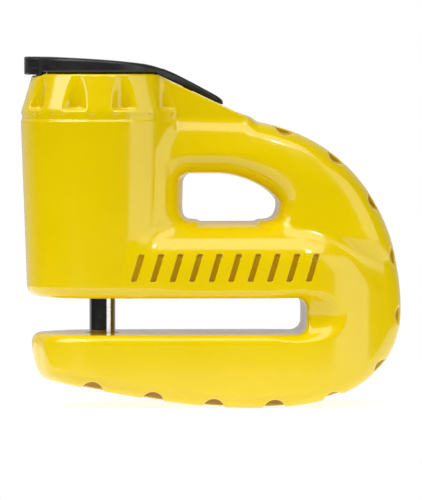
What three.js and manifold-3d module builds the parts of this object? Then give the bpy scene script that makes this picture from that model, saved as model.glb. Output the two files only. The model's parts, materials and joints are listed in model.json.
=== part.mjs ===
// Disc brake lock in its locked state. A cast body clips over the rim of a brake disc, and a push-down
// lock cylinder drives a hardened pin across the slot, through a hole in the disc, into the lower jaw.
//
// Frame, in millimetres: +Z runs up along the locking pin, +X from the open end of the slot to the spine
// of the body, and Y across the thickness. The origin is under the middle of the body, on its lowest point.

import * as THREE from 'three';
import { mergeVertices } from 'three/addons/utils/BufferGeometryUtils.js';
import Module from 'manifold-3d';

// ---- Driving dimensions ------------------------------------------------------------------------

const BODY_LENGTH = 73;
const BODY_THICKNESS = 28;
const PIN_RADIUS = 2.5;
const PIN_TRAVEL = 11;
const AXIS_X = -20.8; // the barrel, the lock cylinder and the pin share this upright axis

// Upright stations of the body.
const SLOT_FLOOR = 14;
const SLOT_ROOF = 21;
const SLOT_MIDDLE = (SLOT_FLOOR + SLOT_ROOF) / 2;
const SLOT_END_X = 17.9;
const SLOT_CORNER = 2;
const DISH_SIZE = [9.3, 3.2, 4.3]; // half sizes of the dished run-out
const DISH_X = 17;
const DISH_RISE = 0.5; // from the body's face out to the middle of the dish
const SHOULDER_Z = 35.7;
const RIM_Z = 63.7;
const CONE_BASE_Z = 56.4;

// Side outline of the cast body.
const TIP_X = -34.4;
const BELLY_X = 7.7;
const SPINE_X = BODY_LENGTH / 2;
const SPINE_Z = 18.3;
const ARCH_START = [5.4, 54.9];
const EDGE_BEVEL = 2;
const ARCH_THICKNESS = 19;
const ARCH_BEVEL = 3;
const WEB_THICKNESS = 17;

// Carrying hole through the arch.
const HOLE_LEFT = -6.4;
const HOLE_RIGHT = 12.8;
const HOLE_TOP = 44.65;
const HOLE_CORNER = 2.4;
const HOLE_FOOT_CORNER = 3.4;

// Barrel and its inside.
const BARREL_BOTTOM_RADIUS = 14.4;
const BARREL_TOP_RADIUS = BODY_LENGTH / 2 + AXIS_X;
const RIM_RADIUS = 13.4;
const BORE_RADIUS = 9.8;
const BORE_FLOOR = 27.5;
const COUNTERBORE_DEPTH = 3;
const PIN_HOLE_RADIUS = PIN_RADIUS + 0.3;
const SOCKET_FLOOR = 10.2;
const FLUTE_COUNT = 10;
const FLUTE_RADIUS = 2.35;
const FLUTE_AXIS_RADIUS = 16;
const FLUTE_LEDGE = 56.95;
const FLUTE_TURN = -3.6; // degrees the ring of flutes is turned away from the front
const LATCH_GROOVE_DEPTH = 1.4;

// Rim pockets and the row of decorative bars on the front.
const POCKET_COUNT = 11;
const POCKET_RADIUS = 1.9;
const POCKET_FIRST = 0.138;
const POCKET_LAST = 0.943;
const POCKET_REACH = 6.5;
const BAR_COUNT = 10;
const BAR_PITCH = 3.7;
const BAR_WIDTH = 1.1;
const BAR_HEIGHT = 5.2;
const BAR_DEPTH = 0.5;
const BAR_LEAN = -0.3;
const BAR_MIDDLE = [2.2, 26.8];

// Lock cylinder and what it holds.
const PIN_TIP_Z = 11;
const PIN_HEAD_Z = 42.6;
const CROSS_PIN_Z = 40.6;
const GUIDE_PIN = { z: 52, radius: 1.2, inner: 8.3, outer: 15.3, degrees: 135 };
const HOUSING_RADIUS = 9.5;
const HOUSING_BOTTOM = 38.2;
const HOUSING_TOP = 65;
const HOUSING_BORE = 7;
const LATCH_CHANNEL = [43.9, 46.7];
const LATCH_WIDTH = 5;
const LATCH_INNER = 4.2;
const LATCH_OUTER = 10.8;
const LATCH_STROKE = 2.4; // how far each bolt draws in while the cylinder rises
const PLUG_RADIUS = 6.7;
const PLUG_BOTTOM = 48.1;
const PLUG_TOP = 64.8;
const PLUG_BORE = 5.3;
const PLUG_NECK_RADIUS = 5.9;
const PLUG_NECK_Z = 63.6;
const CAVITY_TOP = 61.6;
const SHUTTER_POCKET = [62.4, 63.3];
const KEYWAY = [2.4, 7.2];
const DISC_RADIUS = 5;
const DISC_THICKNESS = 1;
const SPACER_THICKNESS = 0.4;
const STACK_BOTTOM = 48.4;
const STACK_GAP = 0.2;
const DISC_TURNS = [90, 36, 72, 18, 54, 36, 72]; // degrees each disc turns before its notch meets the sidebar
const SIDEBAR_WIDTH = 1.2;

// Top cover.
const COVER_GAP = 0.2;
const COVER_HOLE = HOUSING_RADIUS + 0.35;
const COVER_TOP_Z = 67;
const COVER_NOSE_X = -35.9;
const COVER_TAIL_X = 2.5;
const COVER_LIP_SCREW_X = -32.5;
const COVER_TAIL_SCREW_X = -4.5;
const SCREW_RADIUS = 1;
const SCREW_CLEARANCE = 1.25;
const SCREW_HEAD_RADIUS = 1.85;
const WEB_BEND_X = -10.9;
const WEB_END_Z = 57.4; // the web's height under the end of the cover's tail
const WEB_FOOT_X = 7.4; // where the web sinks into the arch

const ROUND_STEPS = 32;
const CURVE_STEPS = 7;

// ---- Solids ------------------------------------------------------------------------------------

const wasm = await Module();
wasm.setup();

/** A solid from any closed three.js geometry. */
function toSolid(geometry) {
  const bare = new THREE.BufferGeometry();
  bare.setAttribute('position', geometry.getAttribute('position'));
  bare.setIndex(geometry.getIndex());
  const merged = mergeVertices(bare, 1e-4);
  const corners = merged.getIndex().array;
  const triangles = [];
  for (let i = 0; i < corners.length; i += 3) {
    const [a, b, c] = corners.slice(i, i + 3);
    if (a !== b && b !== c && c !== a) {
      triangles.push(a, b, c);
    }
  }
  return new wasm.Manifold(new wasm.Mesh({
    numProp: 3,
    vertProperties: new Float32Array(merged.getAttribute('position').array),
    triVerts: new Uint32Array(triangles),
  }));
}

/** A named mesh from a solid. */
function toMesh(name, solid, material) {
  const mesh = solid.getMesh();
  const geometry = new THREE.BufferGeometry();
  geometry.setAttribute('position', new THREE.BufferAttribute(mesh.vertProperties, 3));
  geometry.setIndex(new THREE.BufferAttribute(mesh.triVerts, 1));
  geometry.computeVertexNormals();
  const piece = new THREE.Mesh(geometry, material);
  piece.name = name;
  return piece;
}

function union(solids) {
  return solids.reduce((sum, solid) => sum.add(solid));
}

/** A slab across the body: an outline drawn in X and Z, centred on Y = 0. */
function sideSlab(outline, thickness, bevel = 0, bevelSteps = 2) {
  const geometry = new THREE.ExtrudeGeometry(outline, {
    depth: thickness - 2 * bevel,
    bevelEnabled: bevel > 0,
    bevelThickness: bevel,
    bevelSize: bevel,
    bevelOffset: -bevel,
    bevelSegments: bevelSteps,
    curveSegments: CURVE_STEPS,
  });
  geometry.translate(0, 0, bevel - thickness / 2);
  geometry.rotateX(Math.PI / 2);
  return toSolid(geometry);
}

/** A slab lying flat: an outline drawn in X and Y, between two heights. */
function flatSlab(outline, bottom, top, curveSegments = CURVE_STEPS) {
  const geometry = new THREE.ExtrudeGeometry(outline, {
    depth: top - bottom,
    bevelEnabled: false,
    curveSegments,
  });
  geometry.translate(0, 0, bottom);
  return toSolid(geometry);
}

/** A body turned about the barrel's axis from [radius, height] points. */
function turned(points, steps = ROUND_STEPS) {
  const profile = points.map(([radius, z]) => new THREE.Vector2(radius, z));
  const geometry = new THREE.LatheGeometry(profile, steps);
  geometry.rotateX(Math.PI / 2);
  geometry.translate(AXIS_X, 0, 0);
  return toSolid(geometry);
}

/** An upright round bar on the barrel's axis. */
function roundBar(radius, bottom, top, steps = ROUND_STEPS) {
  return turned([[0, bottom], [radius, bottom], [radius, top], [0, top]], steps);
}

/** A ring on the barrel's axis. */
function ring(inner, outer, bottom, top, steps = ROUND_STEPS) {
  return roundBar(outer, bottom, top, steps).subtract(roundBar(inner, bottom - 1, top + 1, steps));
}

function box(low, high) {
  const size = high.map((value, i) => value - low[i]);
  const geometry = new THREE.BoxGeometry(...size);
  geometry.translate(...low.map((value, i) => value + size[i] / 2));
  return toSolid(geometry);
}

/** A round bar between two points. */
function rodBetween(start, end, radius, steps = 16) {
  const from = new THREE.Vector3(...start);
  const along = new THREE.Vector3(...end).sub(from);
  const geometry = new THREE.CylinderGeometry(radius, radius, along.length(), steps);
  geometry.translate(0, along.length() / 2, 0);
  const turn = new THREE.Quaternion().setFromUnitVectors(
    new THREE.Vector3(0, 1, 0),
    along.clone().normalize(),
  );
  geometry.applyQuaternion(turn);
  geometry.translate(from.x, from.y, from.z);
  return toSolid(geometry);
}

/** A copy of a solid turned about the barrel's axis. */
function turnedAboutAxis(solid, degrees) {
  return solid.translate([-AXIS_X, 0, 0]).rotate([0, 0, degrees]).translate([AXIS_X, 0, 0]);
}

function polygon(points) {
  return new THREE.Shape(points.map(([x, y]) => new THREE.Vector2(x, y)));
}

// ---- Outlines of the cast body -----------------------------------------------------------------

/** From the tip of the lower jaw, along the belly, to the back of the spine. */
function drawBelly(outline) {
  outline.moveTo(TIP_X, SLOT_FLOOR);
  outline.bezierCurveTo(TIP_X, 9.5, TIP_X + 0.6, 5.6, -31.2, 5.05);
  outline.bezierCurveTo(-18.4, 2.85, -5.4, 0, BELLY_X, 0);
  outline.bezierCurveTo(26.4, 0, SPINE_X, 6.4, SPINE_X, SPINE_Z);
}

/** The belly and the whole arch, closed inside the barrel. */
function archOutline() {
  const outline = new THREE.Shape();
  drawBelly(outline);
  outline.bezierCurveTo(SPINE_X, 36, 27, 53, ...ARCH_START);
  outline.lineTo(-12, 55.4);
  outline.lineTo(-12, SLOT_MIDDLE);
  outline.lineTo(TIP_X, SLOT_MIDDLE);
  return outline;
}

/** The thick part: both jaws and the lower spine, up to the sloping shoulder under the carrying hole. */
function blockOutline() {
  const outline = new THREE.Shape();
  drawBelly(outline);
  outline.bezierCurveTo(SPINE_X, 21.5, 36.4, 24, 36.2, 26.5);
  outline.bezierCurveTo(31, 31, 24, SHOULDER_Z, 14, SHOULDER_Z);
  outline.lineTo(AXIS_X, SHOULDER_Z);
  outline.lineTo(AXIS_X, SLOT_MIDDLE);
  outline.lineTo(TIP_X, SLOT_MIDDLE);
  return outline;
}

/** Seen from above, the jaws end in a half round about the pin. */
function jawPlan() {
  const half = BODY_THICKNESS / 2;
  const outline = new THREE.Shape();
  outline.moveTo(AXIS_X, -half);
  outline.lineTo(SPINE_X + 1, -half);
  outline.lineTo(SPINE_X + 1, half);
  outline.lineTo(AXIS_X, half);
  outline.absellipse(AXIS_X, 0, AXIS_X - TIP_X, half, Math.PI / 2, -Math.PI / 2, false);
  return outline;
}

function webOutline() {
  return polygon([
    [AXIS_X, SHOULDER_Z],
    [WEB_FOOT_X, SHOULDER_Z],
    [WEB_FOOT_X, webSlope(WEB_FOOT_X).z],
    [WEB_BEND_X, RIM_Z],
    [AXIS_X, RIM_Z],
  ]);
}

/** Everything above the sloping top of the web, which also planes off that side of the barrel. */
function aboveWebOutline() {
  return polygon([
    [WEB_BEND_X, RIM_Z],
    [WEB_FOOT_X, webSlope(WEB_FOOT_X).z],
    [WEB_FOOT_X, RIM_Z + 10],
    [WEB_BEND_X, RIM_Z + 10],
  ]);
}

function slotOutline() {
  const open = -60;
  const centre = SLOT_END_X - SLOT_CORNER;
  const outline = new THREE.Shape();
  outline.moveTo(open, SLOT_FLOOR);
  outline.lineTo(centre, SLOT_FLOOR);
  outline.absarc(centre, SLOT_FLOOR + SLOT_CORNER, SLOT_CORNER, -Math.PI / 2, 0, false);
  outline.absarc(centre, SLOT_ROOF - SLOT_CORNER, SLOT_CORNER, 0, Math.PI / 2, false);
  outline.lineTo(open, SLOT_ROOF);
  return outline;
}

function carryingHoleOutline() {
  const outline = new THREE.Shape();
  outline.moveTo(HOLE_LEFT + HOLE_FOOT_CORNER, SHOULDER_Z);
  outline.lineTo(HOLE_RIGHT - HOLE_FOOT_CORNER, SHOULDER_Z);
  outline.quadraticCurveTo(HOLE_RIGHT, SHOULDER_Z, HOLE_RIGHT, SHOULDER_Z + HOLE_FOOT_CORNER);
  outline.bezierCurveTo(HOLE_RIGHT, 41, 6.2, HOLE_TOP, 1, HOLE_TOP);
  outline.lineTo(HOLE_LEFT + HOLE_CORNER, HOLE_TOP);
  outline.quadraticCurveTo(HOLE_LEFT, HOLE_TOP, HOLE_LEFT, HOLE_TOP - HOLE_CORNER);
  outline.lineTo(HOLE_LEFT, SHOULDER_Z + HOLE_FOOT_CORNER);
  outline.quadraticCurveTo(HOLE_LEFT, SHOULDER_Z, HOLE_LEFT + HOLE_FOOT_CORNER, SHOULDER_Z);
  return outline;
}

// ---- Cast body ---------------------------------------------------------------------------------

function barrelSolid() {
  const foot = 2.2;
  return turned([
    [0, SLOT_ROOF],
    [BARREL_BOTTOM_RADIUS - foot, SLOT_ROOF],
    [BARREL_BOTTOM_RADIUS - foot * 0.3, SLOT_ROOF + foot * 0.3],
    [BARREL_BOTTOM_RADIUS, SLOT_ROOF + foot],
    [BARREL_TOP_RADIUS, CONE_BASE_Z - 1.6],
    [BARREL_TOP_RADIUS - 0.25, CONE_BASE_Z - 1.2],
    [BARREL_TOP_RADIUS - 0.25, CONE_BASE_Z - 0.4],
    [BARREL_TOP_RADIUS, CONE_BASE_Z],
    [RIM_RADIUS, RIM_Z],
    [0, RIM_Z],
  ], 40);
}

/** Bullet-shaped flutes round the cone of the barrel, with none where the web joins it. */
function fluteCutters() {
  const flute = rodBetween(
    [AXIS_X, -FLUTE_AXIS_RADIUS, FLUTE_LEDGE],
    [AXIS_X, -FLUTE_AXIS_RADIUS, RIM_Z + 1],
    FLUTE_RADIUS,
  );
  const cutters = [];
  for (let i = 0; i < FLUTE_COUNT; i += 1) {
    const degrees = (i + 0.5) * (360 / FLUTE_COUNT) + FLUTE_TURN;
    if (Math.abs(degrees - 90) > 10) {
      cutters.push(turnedAboutAxis(flute, degrees));
    }
  }
  return union(cutters);
}

/** The bore for the lock cylinder, the pin's guide hole, the latch groove and the pin's blind socket. */
function boreCutter() {
  const grooveTop = LATCH_CHANNEL[1] + 0.2;
  const fadeHeight = (LATCH_GROOVE_DEPTH * PIN_TRAVEL) / LATCH_STROKE;
  const barrel = turned([
    [0, SLOT_ROOF - 1],
    [PIN_HOLE_RADIUS, SLOT_ROOF - 1],
    [PIN_HOLE_RADIUS, BORE_FLOOR],
    [BORE_RADIUS, BORE_FLOOR],
    [BORE_RADIUS, LATCH_CHANNEL[0] - 0.2],
    [BORE_RADIUS + LATCH_GROOVE_DEPTH, LATCH_CHANNEL[0] - 0.2],
    [BORE_RADIUS + LATCH_GROOVE_DEPTH, grooveTop],
    [BORE_RADIUS, grooveTop + fadeHeight],
    [BORE_RADIUS, RIM_Z - COUNTERBORE_DEPTH],
    [BORE_RADIUS + 1, RIM_Z - COUNTERBORE_DEPTH],
    [BORE_RADIUS + 1, RIM_Z + 5],
    [0, RIM_Z + 5],
  ]);
  return barrel.add(roundBar(PIN_HOLE_RADIUS, SOCKET_FLOOR, SLOT_FLOOR + 1));
}

/** Half-round pockets cut into both rims of the body, evenly spaced along its outline. */
function pocketCutters() {
  const path = new THREE.Path();
  drawBelly(path);
  path.bezierCurveTo(SPINE_X, 36, 27, 53, ...ARCH_START);
  const cutters = [];
  for (let i = 0; i < POCKET_COUNT; i += 1) {
    const share = POCKET_FIRST + ((POCKET_LAST - POCKET_FIRST) * i) / (POCKET_COUNT - 1);
    const { x, y: z } = path.getPointAt(share);
    for (const side of [-1, 1]) {
      const start = [x, side * POCKET_REACH, z];
      const end = [x, side * BODY_THICKNESS, z];
      cutters.push(rodBetween(start, end, POCKET_RADIUS, 10));
    }
  }
  return union(cutters);
}

/** A shallow dished run-out at the end of the slot, on both faces. */
function slotReliefs() {
  const dishes = [-1, 1].map((side) => {
    const geometry = new THREE.SphereGeometry(1, 16, 8);
    geometry.scale(...DISH_SIZE);
    geometry.translate(DISH_X, side * (BODY_THICKNESS / 2 + DISH_RISE), SLOT_MIDDLE);
    return toSolid(geometry);
  });
  return union(dishes);
}

/** A row of leaning bars sunk into the front face. */
function decorationCutters() {
  const [middleX, middleZ] = BAR_MIDDLE;
  const bars = [];
  for (let i = 0; i < BAR_COUNT; i += 1) {
    const geometry = new THREE.BoxGeometry(BAR_WIDTH, 2 * BAR_DEPTH, BAR_HEIGHT);
    geometry.rotateY(-BAR_LEAN);
    geometry.translate(
      middleX + (i - (BAR_COUNT - 1) / 2) * BAR_PITCH,
      -BODY_THICKNESS / 2,
      middleZ,
    );
    bars.push(toSolid(geometry));
  }
  return union(bars);
}

/** A rod of the guide pin, which runs in from the back of the barrel at 45 degrees. */
function guideRod(radius, inner, outer) {
  const start = [AXIS_X + inner, 0, GUIDE_PIN.z];
  const end = [AXIS_X + outer, 0, GUIDE_PIN.z];
  return turnedAboutAxis(rodBetween(start, end, radius), GUIDE_PIN.degrees);
}

/** A point on the sloping top of the web and the direction square to it. */
function webSlope(x) {
  const slope = (RIM_Z - WEB_END_Z) / (COVER_TAIL_X - WEB_BEND_X);
  const normal = new THREE.Vector3(slope, 0, 1).normalize();
  return { z: RIM_Z - (x - WEB_BEND_X) * slope, normal };
}

/** Where each cover screw sits: the middle of its head's top, and the direction it is driven from. */
function coverScrewPlaces() {
  const slope = webSlope(COVER_TAIL_SCREW_X);
  const tail = new THREE.Vector3(COVER_TAIL_SCREW_X, 0, slope.z).addScaledVector(slope.normal, 1.15);
  return {
    cover_screw_front: {
      head: new THREE.Vector3(COVER_LIP_SCREW_X, 0, RIM_Z + 2.6),
      normal: new THREE.Vector3(0, 0, 1),
      shank: 8,
    },
    cover_screw_rear: { head: tail, normal: slope.normal, shank: 6.5 },
  };
}

/** A rod down from a screw's head, between two depths under the head's top. */
function screwRod({ head, normal }, radius, from, to, steps = 16) {
  const start = head.clone().addScaledVector(normal, -from);
  const end = head.clone().addScaledVector(normal, -to);
  return rodBetween(start.toArray(), end.toArray(), radius, steps);
}

function bodySolid() {
  const jaws = sideSlab(blockOutline(), BODY_THICKNESS, EDGE_BEVEL, 2);
  const arch = sideSlab(archOutline(), ARCH_THICKNESS, ARCH_BEVEL, 2);
  const web = sideSlab(webOutline(), WEB_THICKNESS);
  const screwHoles = Object.values(coverScrewPlaces())
    .map((place) => screwRod(place, SCREW_CLEARANCE, -3, place.shank + 0.6, 12));
  const casting = union([jaws, arch, web])
    .intersect(flatSlab(jawPlan(), -1, RIM_Z + 1, 8))
    .subtract(sideSlab(carryingHoleOutline(), 2 * BODY_THICKNESS))
    .add(barrelSolid())
    .subtract(sideSlab(carryingHoleOutline(), WEB_THICKNESS + 4))
    .subtract(sideSlab(slotOutline(), 2 * BODY_THICKNESS));
  return casting
    .subtract(sideSlab(aboveWebOutline(), 2 * BODY_THICKNESS))
    .subtract(fluteCutters())
    .subtract(boreCutter())
    .subtract(pocketCutters())
    .subtract(slotReliefs())
    .subtract(decorationCutters())
    .subtract(guideRod(GUIDE_PIN.radius + 0.2, 0, 20))
    .subtract(union(screwHoles));
}

// ---- Top cover and its screws ------------------------------------------------------------------

/** Side profile of the cover: thick at the lip, thinning over the barrel and down the web. */
function coverProfile() {
  const under = RIM_Z + COVER_GAP;
  const profile = new THREE.Shape();
  profile.moveTo(COVER_NOSE_X - 0.1, RIM_Z - 0.2);
  profile.lineTo(AXIS_X - RIM_RADIUS - 0.3, RIM_Z - 0.2);
  profile.lineTo(AXIS_X - RIM_RADIUS - 0.3, under);
  profile.lineTo(WEB_BEND_X + 0.1, under);
  profile.lineTo(COVER_TAIL_X, WEB_END_Z + COVER_GAP);
  profile.lineTo(COVER_TAIL_X, WEB_END_Z + 1.1);
  profile.quadraticCurveTo(1.9, 59.1, 1, 59.5);
  profile.lineTo(-5.8, 63.1);
  profile.quadraticCurveTo(-9.8, 65.2, -13.8, 65.8);
  profile.bezierCurveTo(-20, 66.7, -27, COVER_TOP_Z, COVER_NOSE_X + 0.7, COVER_TOP_Z);
  profile.quadraticCurveTo(COVER_NOSE_X - 0.1, COVER_TOP_Z, COVER_NOSE_X - 0.1, COVER_TOP_Z - 0.7);
  return profile;
}

/** Plan of the cover: a disc over the barrel, a thumb lip in front and a tapering tail over the web. */
function coverPlan() {
  const round = RIM_RADIUS + 0.1;
  const lipAngle = (155 * Math.PI) / 180;
  const tailAngle = (52 * Math.PI) / 180;
  const lipX = AXIS_X + round * Math.cos(lipAngle);
  const lipY = round * Math.sin(lipAngle);
  const tailX = AXIS_X + round * Math.cos(tailAngle);
  const tailY = round * Math.sin(tailAngle);
  const plan = new THREE.Shape();
  plan.moveTo(lipX, -lipY);
  plan.absarc(AXIS_X, 0, round, -lipAngle, -tailAngle, false);
  plan.bezierCurveTo(tailX + 4.5, -tailY + 3.4, -6, -6.6, COVER_TAIL_X - 3, -6);
  plan.bezierCurveTo(COVER_TAIL_X, -5.6, COVER_TAIL_X, -3, COVER_TAIL_X, 0);
  plan.bezierCurveTo(COVER_TAIL_X, 3, COVER_TAIL_X, 5.6, COVER_TAIL_X - 3, 6);
  plan.bezierCurveTo(-6, 6.6, tailX + 4.5, tailY - 3.4, tailX, tailY);
  plan.absarc(AXIS_X, 0, round, tailAngle, lipAngle, false);
  plan.bezierCurveTo(COVER_NOSE_X + 0.9, lipY - 1.8, COVER_NOSE_X, 2.6, COVER_NOSE_X, 0);
  plan.bezierCurveTo(COVER_NOSE_X, -2.6, COVER_NOSE_X + 0.9, 1.8 - lipY, lipX, -lipY);
  return plan;
}

function coverSolid() {
  const places = Object.values(coverScrewPlaces());
  const clearances = places.map((place) => screwRod(place, SCREW_CLEARANCE, -3, 9, 12));
  const headSeats = places.map((place) => screwRod(place, SCREW_HEAD_RADIUS + 0.3, -3, 0.9));
  const locatingRing = ring(COVER_HOLE, BORE_RADIUS + 0.8, RIM_Z - 1.5, RIM_Z + 0.6);
  return sideSlab(coverProfile(), 40)
    .intersect(flatSlab(coverPlan(), 50, 70, 9))
    .add(locatingRing)
    .subtract(roundBar(COVER_HOLE, RIM_Z - 3, 70))
    .subtract(union(clearances))
    .subtract(union(headSeats));
}

/** A rubber ring in the counterbore, under the cover's locating ring, that wipes the sliding housing. */
function wiperSealSolid() {
  const seat = RIM_Z - COUNTERBORE_DEPTH;
  return turned([
    [HOUSING_RADIUS + 0.5, seat + 0.2],
    [BORE_RADIUS + 0.8, seat + 0.2],
    [BORE_RADIUS + 0.8, RIM_Z - 1.7],
    [HOUSING_RADIUS + 0.5, RIM_Z - 1.7],
    [HOUSING_RADIUS + 0.1, RIM_Z - 2.2],
    [HOUSING_RADIUS + 0.5, seat + 0.2],
  ], 40);
}

/** A countersunk screw with a cross recess. */
function coverScrew(place) {
  const turn = new THREE.Quaternion().setFromUnitVectors(new THREE.Vector3(0, 0, 1), place.normal);
  const recess = [[1.9, 0.5], [0.5, 1.9]].map(([width, depth]) => {
    const geometry = new THREE.BoxGeometry(width, depth, 0.8);
    geometry.applyQuaternion(turn);
    geometry.translate(place.head.x, place.head.y, place.head.z);
    return toSolid(geometry);
  });
  return screwRod(place, SCREW_HEAD_RADIUS, 0, 0.6)
    .add(screwRod(place, SCREW_RADIUS, 0.5, place.shank, 12))
    .subtract(union(recess));
}

// ---- Lock cylinder -----------------------------------------------------------------------------

/** The sliding housing: plug bore, latch channel, pin socket, guide slot and sidebar relief. */
function housingSolid() {
  const [channelLow, channelHigh] = LATCH_CHANNEL;
  const slotLow = GUIDE_PIN.z - PIN_TRAVEL - GUIDE_PIN.radius - 0.4;
  const slotHigh = GUIDE_PIN.z + GUIDE_PIN.radius + 0.4;
  const guideSlot = turnedAboutAxis(
    box([AXIS_X + 8, -1.6, slotLow], [AXIS_X + 12, 1.6, slotHigh]),
    GUIDE_PIN.degrees,
  );
  const channel = box([AXIS_X - LATCH_WIDTH / 2 - 0.3, -20, channelLow], [
    AXIS_X + LATCH_WIDTH / 2 + 0.3,
    20,
    channelHigh,
  ]);
  const sidebarRelief = ring(HOUSING_BORE - 0.5, HOUSING_BORE + 0.95, STACK_BOTTOM - 0.3, CAVITY_TOP);
  const bore = turned([
    [0, channelLow],
    [4.5, channelLow],
    [4.5, channelHigh],
    [HOUSING_BORE, channelHigh],
    [HOUSING_BORE, PLUG_NECK_Z + 0.1],
    [HOUSING_BORE + 0.8, PLUG_NECK_Z + 0.1],
    [HOUSING_BORE + 0.8, PLUG_NECK_Z + 0.95],
    [HOUSING_BORE - 0.5, PLUG_NECK_Z + 0.95],
    [HOUSING_BORE - 0.5, HOUSING_TOP + 1],
    [0, HOUSING_TOP + 1],
  ]);
  return turned([
    [0, HOUSING_BOTTOM],
    [HOUSING_RADIUS - 0.5, HOUSING_BOTTOM],
    [HOUSING_RADIUS, HOUSING_BOTTOM + 0.5],
    [HOUSING_RADIUS, HOUSING_TOP - 0.5],
    [HOUSING_RADIUS - 0.5, HOUSING_TOP],
    [0, HOUSING_TOP],
  ], 40)
    .subtract(bore)
    .subtract(channel)
    .subtract(sidebarRelief)
    .subtract(guideSlot)
    .subtract(roundBar(PIN_HOLE_RADIUS, HOUSING_BOTTOM - 1, PIN_HEAD_Z + 0.3, 20))
    .subtract(crossPinRod(1.05, 12));
}

function crossPinRod(radius, reach) {
  return rodBetween([AXIS_X, -reach, CROSS_PIN_Z], [AXIS_X, reach, CROSS_PIN_Z], radius, 12);
}

/** The locking pin, chamfered at its tip and cross-drilled near its head. */
function lockingPinSolid() {
  return turned([
    [0, PIN_TIP_Z],
    [PIN_RADIUS - 0.7, PIN_TIP_Z],
    [PIN_RADIUS, PIN_TIP_Z + 0.7],
    [PIN_RADIUS, PIN_HEAD_Z - 0.4],
    [PIN_RADIUS - 0.4, PIN_HEAD_Z],
    [0, PIN_HEAD_Z],
  ], 24).subtract(crossPinRod(1.05, 12));
}

/** A latch bolt, round-nosed to the bore, that slides out of the housing to one side. */
function latchSolid(side) {
  const [channelLow, channelHigh] = LATCH_CHANNEL;
  const low = Math.min(side * LATCH_INNER, side * 12);
  const high = Math.max(side * LATCH_INNER, side * 12);
  return box(
    [AXIS_X - LATCH_WIDTH / 2, low, channelLow + 0.3],
    [AXIS_X + LATCH_WIDTH / 2, high, channelHigh - 0.3],
  ).intersect(roundBar(LATCH_OUTER, channelLow, channelHigh, 40));
}

/** The return spring, a round-wire helix squeezed between the bore's floor and the housing. */
function springSolid() {
  const wire = 0.55;
  const turns = 5;
  const coilRadius = 5.6;
  const low = BORE_FLOOR + 0.3 + wire;
  const high = HOUSING_BOTTOM - 0.3 - wire;
  const stepsPerTurn = 14;
  const points = [];
  for (let i = 0; i <= turns * stepsPerTurn; i += 1) {
    const angle = (i / stepsPerTurn) * 2 * Math.PI;
    const height = low + ((high - low) * i) / (turns * stepsPerTurn);
    points.push(new THREE.Vector3(
      AXIS_X + coilRadius * Math.cos(angle),
      coilRadius * Math.sin(angle),
      height,
    ));
  }
  const section = new THREE.Shape();
  section.absarc(0, 0, wire, 0, 2 * Math.PI, false);
  const geometry = new THREE.ExtrudeGeometry(section, {
    extrudePath: new THREE.CatmullRomCurve3(points),
    steps: turns * stepsPerTurn,
    curveSegments: 3,
    bevelEnabled: false,
  });
  return toSolid(geometry);
}

// ---- Plug, shutter, discs and sidebar ----------------------------------------------------------

function keywaySlot(bottom, top) {
  const [width, length] = KEYWAY;
  return box([AXIS_X - width / 2, -length / 2, bottom], [AXIS_X + width / 2, length / 2, top]);
}

/** The plug: a cup, open downwards, that holds the disc stack under its slotted face. */
function plugSolid() {
  const pocket = box([AXIS_X - 2, -4.2, SHUTTER_POCKET[0]], [AXIS_X + 5.2, 4.2, SHUTTER_POCKET[1]])
    .intersect(roundBar(6.2, SHUTTER_POCKET[0] - 1, SHUTTER_POCKET[1] + 1));
  const sidebarSlot = box(
    [AXIS_X + 4.5, -SIDEBAR_WIDTH / 2 - 0.2, PLUG_BOTTOM - 1],
    [AXIS_X + 8, SIDEBAR_WIDTH / 2 + 0.2, CAVITY_TOP - 0.4],
  );
  return turned([
    [0, PLUG_BOTTOM],
    [PLUG_RADIUS, PLUG_BOTTOM],
    [PLUG_RADIUS, PLUG_NECK_Z],
    [PLUG_NECK_RADIUS, PLUG_NECK_Z],
    [PLUG_NECK_RADIUS, PLUG_TOP - 0.3],
    [PLUG_NECK_RADIUS - 0.3, PLUG_TOP],
    [0, PLUG_TOP],
  ])
    .subtract(roundBar(PLUG_BORE, PLUG_BOTTOM - 1, CAVITY_TOP))
    .subtract(keywaySlot(CAVITY_TOP - 1, PLUG_TOP + 1))
    .subtract(pocket)
    .subtract(sidebarSlot);
}

function shutterSolid() {
  const [low, high] = SHUTTER_POCKET;
  return box([AXIS_X - 1.7, -3.9, low + 0.2], [AXIS_X + 1.7, 3.9, high - 0.2]);
}

/** A snap ring with a gap, sprung into the housing over the plug's shoulder. */
function plugRingSolid() {
  const gap = box([AXIS_X - 12, -1.5, PLUG_NECK_Z - 1], [AXIS_X, 1.5, PLUG_NECK_Z + 2]);
  return ring(PLUG_NECK_RADIUS + 0.2, HOUSING_BORE + 0.6, PLUG_NECK_Z + 0.25, PLUG_NECK_Z + 0.8)
    .subtract(gap);
}

/** A notch for the sidebar in the edge of a disc or spacer, at an angle from the sidebar. */
function notch(degrees, inner) {
  const cutter = box(
    [AXIS_X + inner, -SIDEBAR_WIDTH / 2 - 0.25, STACK_BOTTOM - 1],
    [AXIS_X + DISC_RADIUS + 1, SIDEBAR_WIDTH / 2 + 0.25, CAVITY_TOP],
  );
  return turnedAboutAxis(cutter, degrees);
}

/** A detainer disc, slotted for the key, its notch one bitting angle away from the sidebar. */
function discSolid(bottom, degrees) {
  return roundBar(DISC_RADIUS, bottom, bottom + DISC_THICKNESS, 24)
    .subtract(keywaySlot(bottom - 1, bottom + 2))
    .subtract(notch(degrees, DISC_RADIUS - 1));
}

function spacerSolid(bottom) {
  return ring(KEYWAY[1] / 2 + 0.2, DISC_RADIUS, bottom, bottom + SPACER_THICKNESS, 24)
    .subtract(notch(0, DISC_RADIUS - 1));
}

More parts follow.
